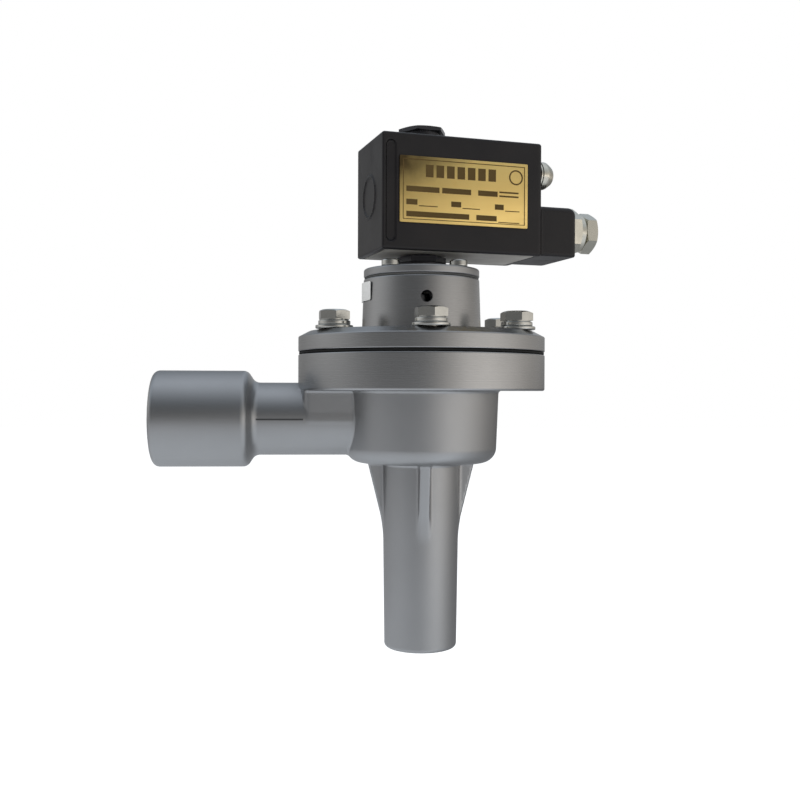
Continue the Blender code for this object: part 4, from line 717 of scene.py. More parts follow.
@dataclass(frozen=True)
class Finish:
    """One finish of the valve, made into a material at its first use.

    The colour moves towards the second colour in patches, towards the edge colour on worn edges, and in
    painted shade.
    """

    name: str
    slot: Slot
    colour: Corner
    second: Corner
    roughness: float
    spread: float
    metallic: float = 1.0
    grain_scale: float = 900.0
    patch_scale: float = 45.0
    grain_height: float = 0.02
    turning_height: float = 0.0
    turning_lines: float = 2600.0
    wear: float = 0.0
    # Colour of worn edges, and of the painted shade on the brass plate.
    wear_and_shade: Corner = (0.5, 0.5, 0.5)
    smudge: float = 0.0
    dust: float = 0.0
    brushed: float = 0.0
    # Strength of the painted shade from the brass plate's upper left corner.
    painted_shade: float = 0.0
    specular: float = 0.5

    def material(self) -> bpy.types.Material:
        """Returns the finish's material."""
        if self.name in bpy.data.materials:
            return bpy.data.materials[self.name]
        material = bpy.data.materials.new(self.name)
        material.use_nodes = True
        sheet = Sheet(material.node_tree)
        grain = self.effect(sheet, Effect.GRAIN, {"Scale": self.grain_scale, "Patch Scale": self.patch_scale})
        patches = grain["Patches"]
        colour = sheet.mix(patches, (*self.colour, 1.0), (*self.second, 1.0))
        wear_and_shade = (*self.wear_and_shade, 1.0)
        rough = sheet.ramp(patches, 0.0, 1.0, self.roughness - self.spread, self.roughness + self.spread)
        height = sheet.times(grain["Height"], self.grain_height)
        marks = ((self.turning_height, Effect.TURNING, {"Lines": self.turning_lines}, 0.05),
                 (self.brushed, Effect.BRUSH, {"Turn": -COIL_TURN}, 0.06))
        for depth, effect, values, change in marks:
            if depth:
                lines = self.effect(sheet, effect, values)["Height"]
                height = sheet.plus(height, sheet.times(lines, depth))
                rough = sheet.plus(rough, sheet.ramp(lines, 0.3, 0.7, -change, change))
        # Painted shade: the colour darkens from the brass plate's upper left corner, which also turns rougher
        # there.
        if self.painted_shade:
            corner = self.effect(sheet, Effect.PAINTED_SHADE, {
                "Turn": -COIL_TURN, "Left": CoilBox.plate_left * MM, "Top": CoilBox.plate_high * MM})["Mask"]
            colour = sheet.mix(sheet.times(corner, self.painted_shade), colour, wear_and_shade)
            rough = sheet.plus(rough, sheet.times(corner, 0.12))
        if self.smudge:
            blots = self.effect(sheet, Effect.SMUDGE, {"Cover": self.smudge})["Mask"]
            rough = sheet.plus(rough, sheet.times(blots, 0.14))
        if self.wear:
            edge = self.effect(sheet, Effect.WEAR, {})["Mask"]
            colour = sheet.mix(sheet.times(edge, self.wear), colour, wear_and_shade)
        if self.dust:
            lying = self.effect(sheet, Effect.DUST, {"Cover": self.dust})["Mask"]
            colour = sheet.mix(lying, colour, (0.34, 0.33, 0.31, 1.0))
            rough = sheet.plus(rough, sheet.times(lying, 0.4))
        bump = sheet.add("ShaderNodeBump", {"Height": height, "Distance": MM, "Strength": 1.0})
        inputs = material.node_tree.nodes["Principled BSDF"].inputs
        given = {"Base Color": colour, "Roughness": sheet.ramp(rough, 0.04, 1.0, 0.04, 1.0),
                 "Normal": bump.outputs[0], "Metallic": self.metallic, "Specular IOR Level": self.specular}
        for key, value in given.items():
            sheet.give(inputs[key], value)
        return material

    @staticmethod
    def effect(sheet: Sheet, effect: Effect, inputs: dict[str, float]) -> Any:
        """Places a shared effect in a material with its own values and returns its outputs."""
        return sheet.add("ShaderNodeGroup", inputs, node_tree=EFFECTS.group(effect)).outputs


CAST = Finish("cast_satin", Slot.ALUMINIUM, (0.415,) * 3, (0.39,) * 3, 0.38, 0.02, grain_scale=2600.0,
              patch_scale=26.0, grain_height=0.012, wear=0.35, dust=0.08)
TURNED = Finish("turned_satin", Slot.ALUMINIUM, (0.42,) * 3, (0.395,) * 3, 0.30, 0.02, grain_scale=2200.0,
                patch_scale=30.0, grain_height=0.004, turning_height=0.005, turning_lines=5200.0, dust=0.08)
# Painted shade: the parting line's bead is dark to stand for the shade in a groove.
SHADED_SEAM = Finish("mould_line_painted_shade", Slot.ALUMINIUM, (0.13,) * 3, (0.10,) * 3, 0.5, 0.05, grain_height=0.01)
ZINC = Finish("bright_zinc", Slot.ZINC, (0.64, 0.635, 0.60), (0.54, 0.54, 0.51), 0.18, 0.04,
              grain_scale=2400.0, patch_scale=220.0, grain_height=0.005)
SPRING = Finish("spring_wire", Slot.SPRING, (0.40, 0.41, 0.43), (0.33, 0.34, 0.36), 0.32, 0.05,
                grain_height=0.006)
RUBBER = Finish("moulded_rubber", Slot.RUBBER, (0.008,) * 3, (0.012, 0.012, 0.011), 0.66, 0.08,
                metallic=0.0, specular=0.2)
FABRIC = Finish("cut_fabric_edge", Slot.RUBBER, (0.10, 0.10, 0.095), (0.07, 0.07, 0.068), 0.7, 0.06,
                metallic=0.0, specular=0.3)
ENAMEL = Finish("half_gloss_enamel", Slot.ENAMEL, (0.011, 0.010, 0.011), (0.015, 0.013, 0.013), 0.36, 0.04,
                metallic=0.0, patch_scale=70.0, grain_height=0.010, wear=0.12, wear_and_shade=(0.07, 0.065, 0.06),
                smudge=0.4, dust=0.04, specular=0.30)
OXIDE = Finish("glossy_black_oxide", Slot.OXIDE, (0.035, 0.035, 0.04), (0.05, 0.05, 0.055), 0.22, 0.04,
               metallic=0.55, grain_height=0.004, turning_height=0.004)
STAINLESS = Finish("turned_stainless", Slot.STAINLESS, (0.55,) * 3, (0.48, 0.48, 0.49), 0.28, 0.04,
                   grain_height=0.004, turning_height=0.010)
NICKEL = Finish("nickel_plating", Slot.NICKEL, (0.72, 0.69, 0.60), (0.62, 0.60, 0.52), 0.28, 0.05,
                grain_scale=1800.0, patch_scale=160.0, grain_height=0.005)
# The brass plate carries painted shade, in its edge colour, from its upper left corner.
BRASS = Finish("lacquered_brass", Slot.BRASS, (0.93, 0.68, 0.25), (0.84, 0.60, 0.21), 0.44, 0.05,
               grain_scale=1600.0, patch_scale=38.0, grain_height=0.006, brushed=0.010, painted_shade=0.95,
               wear_and_shade=(0.10, 0.065, 0.03), smudge=0.35)
INK = Finish("plate_ink", Slot.BRASS, (0.085, 0.052, 0.013), (0.115, 0.072, 0.02), 0.55, 0.06, metallic=0.0,
             grain_scale=1600.0, grain_height=0.005, specular=0.2)
LABEL = Finish("paper_label", Slot.LABEL, (0.90, 0.90, 0.885), (0.85, 0.85, 0.83), 0.6, 0.05, metallic=0.0,
               grain_scale=2200.0, grain_height=0.006, smudge=0.3)
RESIN = Finish("cast_resin", Slot.RESIN, (0.58, 0.55, 0.50), (0.48, 0.455, 0.41), 0.48, 0.07, metallic=0.0,
               patch_scale=90.0)
NYLON = Finish("moulded_nylon", Slot.NYLON, (0.70, 0.68, 0.60), (0.64, 0.62, 0.54), 0.45, 0.05,
               metallic=0.0, grain_height=0.006)
COPPER = Finish("enamelled_copper", Slot.COPPER, (0.55, 0.22, 0.09), (0.44, 0.16, 0.07), 0.34, 0.05,
                turning_height=0.05, turning_lines=1500.0)
IRON = Finish("pressed_iron", Slot.IRON, (0.33, 0.34, 0.36), (0.26, 0.27, 0.28), 0.42, 0.06)


def dressed(piece: Piece, finish: Finish, body: Optional[Body] = Body.VALVE,
            replaces: Sequence[str] = ()) -> Piece:
    """Gives a piece its finish and the body that it rides on.

    Args:
        piece: The piece.
        finish: Its finish.
        body: The body that it moves with, or None for a piece that is blended afterwards.
        replaces: The CAD nodes that it stands for.

    Returns:
        The piece.
    """
    piece.data.materials.clear()
    piece.data.materials.append(finish.material())
    if body:
        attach(piece, body.value)
    if replaces:
        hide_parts(*replaces)
    LOG.info("%s: %d faces, %s", piece.name, len(piece.data.polygons), finish.name)
    return piece


class NodeTool:
    """A Geometry Nodes tree with named inputs, which ends in plain geometry with its material."""

    def __init__(self, name: str, kinds: dict[str, str]) -> None:
        """Builds the node tree once.

        Args:
            name: The tree's name.
            kinds: Kind of socket of each named input, the first of which is the piece's geometry.
        """
        self.tree = bpy.data.node_groups.new(name, "GeometryNodeTree")
        kinds = {**kinds, "Finish": "Material"}
        self.sockets = {key: self.tree.interface.new_socket(key, in_out="INPUT",
                                                            socket_type=f"NodeSocket{kind}")
                        for key, kind in kinds.items()}
        self.tree.interface.new_socket("Geometry", in_out="OUTPUT", socket_type="NodeSocketGeometry")
        sheet = Sheet(self.tree)
        given = sheet.add("NodeGroupInput").outputs
        real = sheet.add("GeometryNodeRealizeInstances", {"Geometry": self.drawn(sheet, given)})
        coloured = sheet.add("GeometryNodeSetMaterial", {
            "Geometry": real.outputs[0], "Material": given["Finish"]})
        sheet.add("NodeGroupOutput", {0: coloured.outputs[0]})

    def drawn(self, sheet: Sheet, given: Any) -> Socket:
        """Returns the geometry before it becomes real."""
        raise NotImplementedError

    def run(self, piece: Piece, values: dict[str, Any]) -> Piece:
        """Sets the inputs, turns the result into the piece's plain mesh and returns the piece."""
        modifier = piece.modifiers.new(self.tree.name, "NODES")
        modifier.node_group = self.tree
        for key, value in values.items():
            modifier[self.sockets[key].identifier] = value
        return applied(piece)


class RingOfCopies(NodeTool):
    """Sets copies of one form on points."""

    def __init__(self) -> None:
        """Builds the node tree once."""
        super().__init__("ring_of_copies", {"Places": "Geometry", "Form": "Object", "Size": "Float"})

    def drawn(self, sheet: Sheet, given: Any) -> Socket:
        """Returns the copies on the points, each with its own turn."""
        spin = sheet.add("GeometryNodeInputNamedAttribute", {"Name": "turn"}, data_type="FLOAT")
        form = sheet.add("GeometryNodeObjectInfo", {"Object": given["Form"]})
        return sheet.add("GeometryNodeInstanceOnPoints", {
            "Points": given["Places"], "Instance": form.outputs["Geometry"],
            "Rotation": sheet.upright(spin.outputs[0]), "Scale": given["Size"]}).outputs[0]

    def make(self, name: str, form: Piece, radius: float, angles: Sequence[float], turns: Sequence[float],
             replaces: str) -> None:
        """Places zinc-plated copies and dresses them as one plain mesh.

        Args:
            name: The new piece's name.
            form: The form at the origin. It is removed.
            radius: Radius of the circle of places, in millimetres.
            angles: Angle of each place, in degrees.
            turns: Further turn of each copy about its own axis, in degrees.
            replaces: What the CAD nodes that they stand for are called, before their number.
        """
        places = bpy.data.meshes.new(name)
        places.from_pydata([on_circle(radius, angle) * MM for angle in angles], [], [])
        attribute = places.attributes.new("turn", "FLOAT", "POINT")
        attribute.data.foreach_set("value", [math.radians(a + t) for a, t in zip(angles, turns)])
        piece = self.run(linked(name, places), {"Form": form, "Size": 1.0, "Finish": ZINC.material()})
        bpy.data.objects.remove(form, do_unlink=True)
        for attribute in [a for a in piece.data.attributes if a.name == "turn"]:
            piece.data.attributes.remove(attribute)
        dressed(piece, ZINC, replaces=[f"{replaces}_{k + 1}" for k in range(len(angles))])


class ThreadRidge(NodeTool):
    """Winds a thread's ridge."""

    def __init__(self) -> None:
        """Builds the node tree once."""
        super().__init__("thread_ridge", {
            "Start": "Geometry", "Turns": "Float", "Radius": "Float", "Length": "Float", "Depth": "Float"})

    def drawn(self, sheet: Sheet, given: Any) -> Socket:
        """Returns the ridge, a square section carried along a winding."""
        winding = sheet.add("GeometryNodeCurveSpiral", {
            "Resolution": 64, "Rotations": given["Turns"], "Start Radius": given["Radius"],
            "End Radius": given["Radius"], "Height": given["Length"]})
        section = sheet.add("GeometryNodeCurvePrimitiveCircle", {
            "Resolution": 4, "Radius": given["Depth"]}, mode="RADIUS")
        return sheet.add("GeometryNodeCurveToMesh", {
            "Curve": winding.outputs[0], "Profile Curve": section.outputs[0], "Fill Caps": True}).outputs[0]


@dataclass
class CastBody:
    """The casting below the diaphragm: outlet tube, bowl, ribs, inlet and the turned flange."""

    outlet_length: float = 82.5
    tip_r: float = 16.1
    root_r: float = 17.2
    root_fillet: float = 1.8
    bore_r: float = 12.7
    tip_round: float = 1.6
    bowl_floor_r: float = 33.4
    bowl_top_r: float = 34.6
    bowl_round: float = 6.5
    hollow_round: float = 4.5
    wall: float = 4.0
    flange_under: float = 114.4
    flange_top: float = 130.1
    seat: float = 121.5
    seat_chamfer: float = 1.6
    seat_clear_r: float = 25.0
    rib_half_width: float = 2.4
    rib_edge: float = 0.9
    rib_fillet: float = 1.4
    rib_reach: float = 6.7
    rib_drop: float = 27.0
    rib_tail: float = 12.0
    inlet: float = 101.7
    pipe_r: float = 16.0
    socket_r: float = 21.2
    reach: float = 118.0
    socket_length: float = 41.0
    shoulder: float = 3.4
    shoulder_round: float = 1.4
    shoulder_fillet: float = 1.6
    mouth_round: float = 2.8
    mouth_chamfer: float = 3.4
    thread_r: float = 15.2
    thread_depth: float = 22.0
    thread_turns: float = 8.5
    thread_ridge: float = 0.75
    ledge: float = 0.02
    block_inset: float = 0.6
    block_round: float = 2.2
    block_drop: float = 2.2
    block_edge: float = 1.4
    hole_r: float = 4.2
    cell: float = 0.95

    def bowl_r(self, z: Array) -> Array:
        """Returns the bowl's radius at each height."""
        climb = (z - self.outlet_length) / (self.flange_under - self.outlet_length)
        return self.bowl_floor_r + (self.bowl_top_r - self.bowl_floor_r) * climb

    def upright(self, x: Array, y: Array, z: Array) -> Array:
        """Returns the distance to the outlet tube, the bowl and the ribs."""
        r = np.hypot(x, y)
        length = self.outlet_length
        tube_r = self.tip_r + (self.root_r - self.tip_r) * np.clip(z / length, 0.0, 1.0)
        tube = round_overlap(r - tube_r, -z, self.tip_round)
        bowl = round_overlap(r - self.bowl_r(z), length - z, self.bowl_round)
        solid = round_union(tube, bowl, self.root_fillet)
        foot = length - self.rib_drop
        slope = self.rib_reach / self.rib_drop
        for along, across in ((x, y), (-x, y), (y, x), (-y, x)):
            edge = (along - self.root_r - slope * (z - foot)) / math.hypot(1.0, slope)
            rib = round_overlap(np.abs(across) - self.rib_half_width, edge, self.rib_edge)
            rib = overlap(rib, -along, z - length - 2.0, foot - self.rib_tail - z)
            solid = round_union(solid, rib, self.rib_fillet)
        return solid

    def outside(self, x: Array, y: Array, z: Array) -> Array:
        """Returns the distance to the casting without its hollows."""
        r, around = np.hypot(x, y), np.hypot(y, z - self.inlet)
        shoulder_x = self.socket_length - self.reach
        rise = self.socket_r - self.pipe_r
        cone = (x - shoulder_x) * rise + (around - self.socket_r) * self.shoulder
        socket = round_overlap(around - self.socket_r, -self.reach - x, self.mouth_round)
        socket = round_overlap(socket, cone / math.hypot(rise, self.shoulder), self.shoulder_round)
        inner_end = x + self.root_r + self.wall
        pipe = overlap(around - self.pipe_r, inner_end, shoulder_x - 2.0 - x)
        solid = round_union(self.upright(x, y, z), round_union(socket, pipe, self.shoulder_fillet), 0.8)
        sides, back = np.abs(y) - self.pipe_r - self.ledge, r - FLANGE_R + self.block_inset
        block = round_overlap(sides, back, self.block_round)
        block = round_overlap(block, self.inlet - self.block_drop - z, self.block_edge)
        solid = round_union(solid, overlap(block, inner_end, z - self.flange_under - 1.0), 0.35)
        slab = np.maximum(r - FLANGE_R + 1.5, self.flange_under + 0.04 - z)
        return round_union(solid, slab, 1.2)

    def hollow(self, x: Array, y: Array, z: Array) -> Array:
        """Returns the distance to the ring-shaped space round the seat tube."""
        r = np.hypot(x, y)
        floor = self.outlet_length + self.wall
        space = round_overlap(r - self.bowl_r(z) + self.wall, floor - z, self.hollow_round)
        return round_overlap(space, self.root_r - r, 1.5)

    def bore(self, x: Array, y: Array, z: Array) -> Array:
        """Returns the distance to the threaded socket and the bore behind it."""
        thread_x = self.thread_depth - self.reach
        stations = [-self.reach - 2.0, -self.reach + 1.4, thread_x, thread_x + 2.5]
        radii = [self.thread_r + self.mouth_chamfer, self.thread_r, self.thread_r, self.bore_r]
        around = np.hypot(y, z - self.inlet)
        return np.maximum(around - np.interp(x, stations, radii), x + self.root_r + self.wall + 0.9)

    def solid(self, x: Array, y: Array, z: Array) -> Array:
        """Returns the distance to the whole casting."""
        r = np.hypot(x, y)
        body = round_overlap(self.outside(x, y, z), -self.hollow(x, y, z), 0.3)
        body = round_overlap(body, self.bore_r - r, 0.9)
        body = round_overlap(body, -self.bore(x, y, z), 0.4)
        chamfer = (r - self.root_r + self.seat_chamfer + z - self.seat) / math.sqrt(2.0)
        seat = np.maximum(z - self.seat, chamfer)
        under_flange = np.where(r < FLANGE_R - 0.6, z - self.flange_under - 1.6, -50.0)
        return np.maximum(body, np.where(r < self.seat_clear_r, seat, under_flange))

    def build(self, ridge: ThreadRidge) -> None:
        """Makes the casting, its flange, the socket's thread and the parting line."""
        low, high = (-self.reach - 1.5, -FLANGE_R, -1.5), (FLANGE_R, FLANGE_R, self.seat + 2.0)
        dressed(meshed_field("cast_body", self.solid, low, high, self.cell), CAST, replaces=["valve_body"])
        top, under, inner = self.flange_top, self.flange_under, self.bowl_top_r - self.wall + 0.6
        flange = turned("body_flange", [
            (CHAMBER_R, top, 0.4), (FLANGE_R, top, 0.45), (FLANGE_R, under, 0.9), (inner, under),
            (inner, under + 1.2), (CHAMBER_R, self.seat)], 192)
        holes = [hole(f"flange_hole_{k}", self.hole_r, under - 1.0, top + 1.0,
                      at(*on_circle(BOLT_CIRCLE, angle))) for k, angle in enumerate(BOLT_ANGLES)]
        dressed(combined(flange, Operation.CUT, *holes), TURNED)
        thread = ridge.run(linked("socket_thread", bpy.data.meshes.new("socket_thread")), {
            "Turns": self.thread_turns, "Radius": (self.thread_r - 0.1) * MM,
            "Length": (self.thread_depth - 3.0) * MM, "Depth": self.thread_ridge * MM,
            "Finish": TURNED.material()})
        thread.data.transform(at(self.thread_depth - self.reach - 0.6, 0.0, self.inlet) @ turn(-90.0, "Y"))
        dressed(thread, TURNED)
        self.parting_line()

    def parting_line(self) -> None:
        """Makes the thin bead that the mould's joint leaves along the inlet pipe, coloured dark as painted
        shade of a groove.
        """
        start = self.socket_length - self.reach + self.shoulder + 0.6
        end = self.block_inset - FLANGE_R + 2.0
        root = self.pipe_r - 0.6
        beads = [prism(f"parting_bead_{side}", [
            (start, side * root), (end, side * root), (end, side * (self.pipe_r + 0.32), 0.15),
            (start, side * (self.pipe_r + 0.1), 0.1)], self.inlet - 0.25, self.inlet + 0.45)
            for side in (-1, 1)]
        dressed(joined("parting_line", beads), SHADED_SEAM)


@dataclass
class Bonnet:
    """The bonnet with its turret, the pilot cover on it and the paper label."""

    low: float = 131.5
    chamfer_width: float = 4.6
    chamfer_drop: float = 2.4
    turret_base_r: float = 26.6
    turret_top_r: float = 25.8
    turret_top: float = 163.75
    boss_r: float = 7.5
    boss_drop: float = 6.6
    pocket_r: float = 17.5
    pocket_depth: float = 12.0
    roof_r: float = 23.0
    roof: float = 6.0
    cup_r: float = 11.6
    cup_depth: float = 16.0
    nozzle_r: float = 4.5
    bolt_hole_r: float = 4.5
    screw_hole_r: float = 2.2
    vent: float = 154.5
    vent_r: float = 2.4
    vent_start: float = 12.5
    vent_mouth: float = 25.8
    vent_end: float = 28.0
    vent_flare: float = 1.6
    cover: float = 164.65
    step_r: float = 8.0
    step_drop: float = 1.2
    well_r: float = 6.3
    well_drop: float = 2.0
    nose_r: float = 2.6
    nose_drop: float = 0.5
    orifice_r: float = 1.1
    label_width: float = 17.0
    label_height: float = 8.2
    label_thick: float = 0.25
    label_round: float = 0.8
    label_angle: float = -170.0
    label_drop: float = 6.0
    label_r: float = 26.446781

    def build(self) -> None:
        """Makes the bonnet, the pilot cover and the label."""
        self.casting()
        self.cover_plate()
        self.label()

    def casting(self) -> None:
        """Makes the bonnet's casting."""
        low, roof, cup = self.low, self.low + self.roof, self.low + self.cup_depth
        top, boss, floor = (self.turret_top - drop for drop in (0.0, self.boss_drop, self.pocket_depth))
        piece = turned("bonnet_casting", [
            (0, boss), (self.boss_r, boss, 0.3), (self.boss_r, floor, 0.5), (self.pocket_r, floor, 1.0),
            (self.pocket_r, top, 0.3), (self.turret_top_r, top, 0.6), (self.turret_base_r, BONNET_TOP, 1.8),
            (FLANGE_R - self.chamfer_width, BONNET_TOP, 0.5),
            (FLANGE_R, BONNET_TOP - self.chamfer_drop, 0.5), (FLANGE_R, low, 0.3), (CHAMBER_R, low, 0.3),
            (CHAMBER_R, low + 1.5, 0.6), (self.roof_r, roof, 1.0), (self.cup_r, roof, 0.6),
            (self.cup_r, cup, 0.5), (0, cup)], 192)
        vent = turned("vent", [
            (0, self.vent_end), (self.vent_r + self.vent_flare, self.vent_end),
            (self.vent_r, self.vent_mouth), (self.vent_r, self.vent_start), (0, self.vent_start)], 40,
            at(0.0, 0.0, self.vent) @ turn(90.0, "X"))
        cutters = [hole("nozzle", self.nozzle_r, cup - 1.0, boss, sink=0.0), vent]
        cutters += [hole(f"bolt_hole_{k}", self.bolt_hole_r, low - 1.0, BONNET_TOP,
                         at(*on_circle(BOLT_CIRCLE, angle)), sink=0.3) for k, angle in enumerate(BOLT_ANGLES)]
        cutters += self.screw_holes("tapped_hole", top - 10.0, top, 0.0)
        dressed(combined(piece, Operation.CUT, *cutters), TURNED, replaces=["bonnet"])

    def screw_holes(self, name: str, low: float, high: float, sink: float) -> list[Piece]:
        """Returns the cutters of the cover's screw holes."""
        return [hole(f"{name}_{k}", self.screw_hole_r, low, high, at(*on_circle(SCREW_CIRCLE, angle)),
                     sink=sink) for k, angle in enumerate(SCREW_ANGLES)]

    def cover_plate(self) -> None:
        """Makes the round plate over the pilot diaphragm."""
        top = COVER_TOP
        nose, well, step = (top - drop for drop in (self.nose_drop, self.well_drop, self.step_drop))
        plate = turned("pilot_cover_plate", [
            (0, nose), (self.nose_r, nose), (self.nose_r, well), (self.well_r, well), (self.well_r, step),
            (self.step_r, step), (self.step_r, top, 0.2), (self.turret_top_r, top, 0.8),
            (self.turret_top_r, self.cover, 0.5), (0, self.cover)], 160)
        foot = self.cover - 1.0
        cutters = [hole("orifice", self.orifice_r, foot, top, sink=0.0),
                   *self.screw_holes("cover_hole", foot, top, 0.2)]
        dressed(combined(plate, Operation.CUT, *cutters), CAST, replaces=["pilot_cover"])

    def label(self) -> None:
        """Makes the bare paper label, bent round the turret, with rounded corners."""
        half, rise, strips = self.label_width / 2, self.label_height / 2, 34
        outline = filleted(oblong(-half, half, -rise, rise, self.label_round), 0.3)
        dense = []
        for point, after in zip(outline, outline[1:] + outline[:1]):
            parts = max(1, round((after - point).length / 0.5))
            dense.extend(point.lerp(after, step / parts) for step in range(parts))
        shape = bmesh.new()
        sides = [[shape.verts.new((point.x, point.y, level)) for point in dense]
                 for level in (0.0, self.label_thick)]
        skinned(shape, sides)
        bmesh.ops.triangulate(shape, faces=[shape.faces.new(side) for side in sides])
        for step in range(1, strips):
            bmesh.ops.bisect_plane(shape, geom=[*shape.verts, *shape.edges, *shape.faces],
                                   plane_co=(self.label_width * step / strips - half, 0.0, 0.0),
                                   plane_no=(1.0, 0.0, 0.0))
        for vertex in shape.verts:
            angle = math.radians(self.label_angle) + vertex.co.x / self.label_r
            out = self.label_r + vertex.co.z
            height = self.turret_top - self.label_drop + vertex.co.y
            vertex.co = (out * math.cos(angle), out * math.sin(angle), height)
        dressed(finished("turret_label", shape), LABEL, replaces=["turret_sticker"])


@dataclass
class Fasteners:
    """The bolts and washers of the flange and the screws of the pilot cover."""

    gap: float = 0.2
    flat_r: float = 8.0
    flat_thick: float = 1.4
    spring_r: float = 6.8
    spring_thick: float = 1.8
    slit: float = 1.2
    slit_offset: float = 0.9
    bolt_r: float = 3.9
    across: float = 12.4
    head: float = 4.4
    crown_r: float = 5.2
    crown_drop: float = 0.85
    tip: float = 115.9
    screw_r: float = 1.9
    screw_length: float = 12.0
    screw_head_r: float = 3.9
    screw_head: float = 2.8
    slot_half: float = 0.55
    slot_depth: float = 1.2
    head_turns: Corner = (6.0, 8.0, -22.0, 20.0, -10.0, 6.0)
    flat_turns: Corner = (0.0,) * 6
    slit_turns: Corner = (150.0, 200.0, 40.0, 120.0, 80.0, 170.0)
    slot_turns: Corner = (100.0, 62.0, 20.0, 75.0)

    def build(self, copies: RingOfCopies) -> None:
        """Makes every fastener in rings of copies."""
        flat = BONNET_TOP + self.gap
        flat_top = flat + self.flat_thick
        spring = flat_top + self.gap
        washer = ring("flat_washer_form", self.flat_r, self.bolt_r + 0.3, flat, flat_top,
                      (0.25, 0.4, 0.0, 0.0), 72)
        bolt = self.bolt(spring + self.spring_thick + self.gap)
        for name, form, turns, node in (
                ("flange_bolts", bolt, self.head_turns, "flange_bolt"),
                ("flat_washers", washer, self.flat_turns, "flat_washer"),
                ("spring_washers", self.spring_washer(spring), self.slit_turns, "spring_washer")):
            copies.make(name, form, BOLT_CIRCLE, BOLT_ANGLES, turns, node)
        copies.make("cover_screws", self.screw(), SCREW_CIRCLE, SCREW_ANGLES, self.slot_turns, "cover_screw")

    def bolt(self, head: float) -> Piece:
        """Returns one bolt, with a washer face under its head and a corner at +X."""
        form = hexagon("bolt_form", self.across, head + 0.3, head + self.head, self.crown_r, self.crown_drop)
        face_r = self.across / 2 - 0.2
        shank = turned("bolt_shank", [
            (0, head + 2.0), (self.bolt_r, head + 2.0), (self.bolt_r, head + 1.0), (face_r, head + 1.0),
            (face_r, head), (self.bolt_r, head), (self.bolt_r, self.tip, 0.7), (0, self.tip)], 48)
        return combined(form, Operation.JOIN, shank)

    def spring_washer(self, low: float) -> Piece:
        """Returns one split ring with a square section."""
        high = low + self.spring_thick
        form = ring("spring_washer_form", self.spring_r, self.bolt_r + 0.3, low, high,
                    (0.3, 0.3, 0.2, 0.2), 72)
        half, off = self.slit / 2, self.slit_offset
        slit = prism("slit", oblong(2.0, 9.0, -half - off, half - off), low - 1.0, high + 1.0)
        return combined(form, Operation.CUT, slit)

    def screw(self) -> Piece:
        """Returns one slotted cheese-head screw."""
        low = COVER_TOP + self.gap
        top, tip = low + self.screw_head, low - self.screw_length
        form = turned("cover_screw_form", [
            (0, top), (self.screw_head_r, top, 0.7), (self.screw_head_r, low, 0.2), (self.screw_r, low),
            (self.screw_r, tip, 0.3), (0, tip)], 56)
        slot = prism("slot", oblong(-6.0, 6.0, -self.slot_half, self.slot_half), top - self.slot_depth,
                     top + 1.0)
        return combined(form, Operation.CUT, slot)


@dataclass
class Diaphragms:
    """The two rubber diaphragms, whose moulded middles follow their hubs, and the three springs."""

    rim: float = 130.3
    thick: float = 1.0
    rim_r: float = 54.5
    clamp_r: float = 36.0
    hub_r: float = 23.0
    screw_r: float = 3.3
    dish: float = 124.4
    pilot_rim: float = 163.8
    pilot_thick: float = 0.8
    pilot_rim_r: float = 25.5
    pilot_clamp_r: float = 16.7
    pilot_hub_r: float = 9.6
    rivet_r: float = 1.6
    pilot_dish: float = 158.5

    def build(self) -> None:
        """Makes the diaphragms and the springs."""
        main = ring("diaphragm_rim", self.rim_r, self.clamp_r, self.rim, self.rim + self.thick,
                    (0.3, 0.3, 0.0, 0.0), 192)
        dressed(main, RUBBER, replaces=["main_diaphragm"])
        self.dished("diaphragm_dish", "diaphragm_hub", self.clamp_r, self.hub_r, self.screw_r, self.thick,
                    self.rim, self.dish)
        pilot = ring("pilot_rim", self.pilot_rim_r, self.pilot_clamp_r, self.pilot_rim,
                     self.pilot_rim + self.pilot_thick, (0.2, 0.2, 0.0, 0.0), 160)
        dressed(pilot, FABRIC, replaces=["pilot_diaphragm"])
        self.dished("pilot_dish", "pilot_hub", self.pilot_clamp_r, self.pilot_hub_r, self.rivet_r,
                    self.pilot_thick, self.pilot_rim, self.pilot_dish)
        for name, node, joint, coil_r, wire_r, turns, lift in (
                ("closing_spring", "main_spring", "diaphragm_lift", 9.0, 0.9, 5, 6.0),
                ("pilot_closing_spring", "pilot_spring", "pilot_lift", 4.6, 0.3, 3, 1.6),
                ("plunger_return_spring", "plunger_spring", "plunger_lift", 2.3, 0.3, 5, 2.0)):
            low, high = (corner.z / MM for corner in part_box(node))
            spring = spring_coil(name, coil_r, wire_r, low, high, turns)
            dressed(spring, SPRING, replaces=[node])
            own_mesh(spring)

    @staticmethod
    def dished(name: str, hub: str, clamp_r: float, hub_r: float, bore_r: float, thick: float, rim: float,
               dish: float) -> None:
        """Makes the moulded middle of a diaphragm, which hangs between its clamped rim and its hub.

        Args:
            name: The piece's name.
            hub: The body that its middle follows.
            clamp_r: Radius where it is clamped.
            hub_r: Radius of its flat middle.
            bore_r: Radius of the hole in it.
            thick: Its thickness.
            rim: Height of the rim's underside.
            dish: Height of the middle's underside.
        """
        bend, clamp_r = 2 * thick, clamp_r - 0.02
        piece = turned(name, [
            (clamp_r, rim + thick), (clamp_r, rim), (clamp_r - 0.4, rim, bend), (hub_r, dish, bend),
            (bore_r, dish), (bore_r, dish + thick), (hub_r - thick / 4, dish + thick, bend),
            (clamp_r - 0.4 - thick / 4, rim + thick, bend)], 96)
        dressed(piece, RUBBER, None)
        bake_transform(piece, Body.VALVE.value, hub, start=(0, 0, rim * MM), end=(0, 0, (dish + thick) * MM))


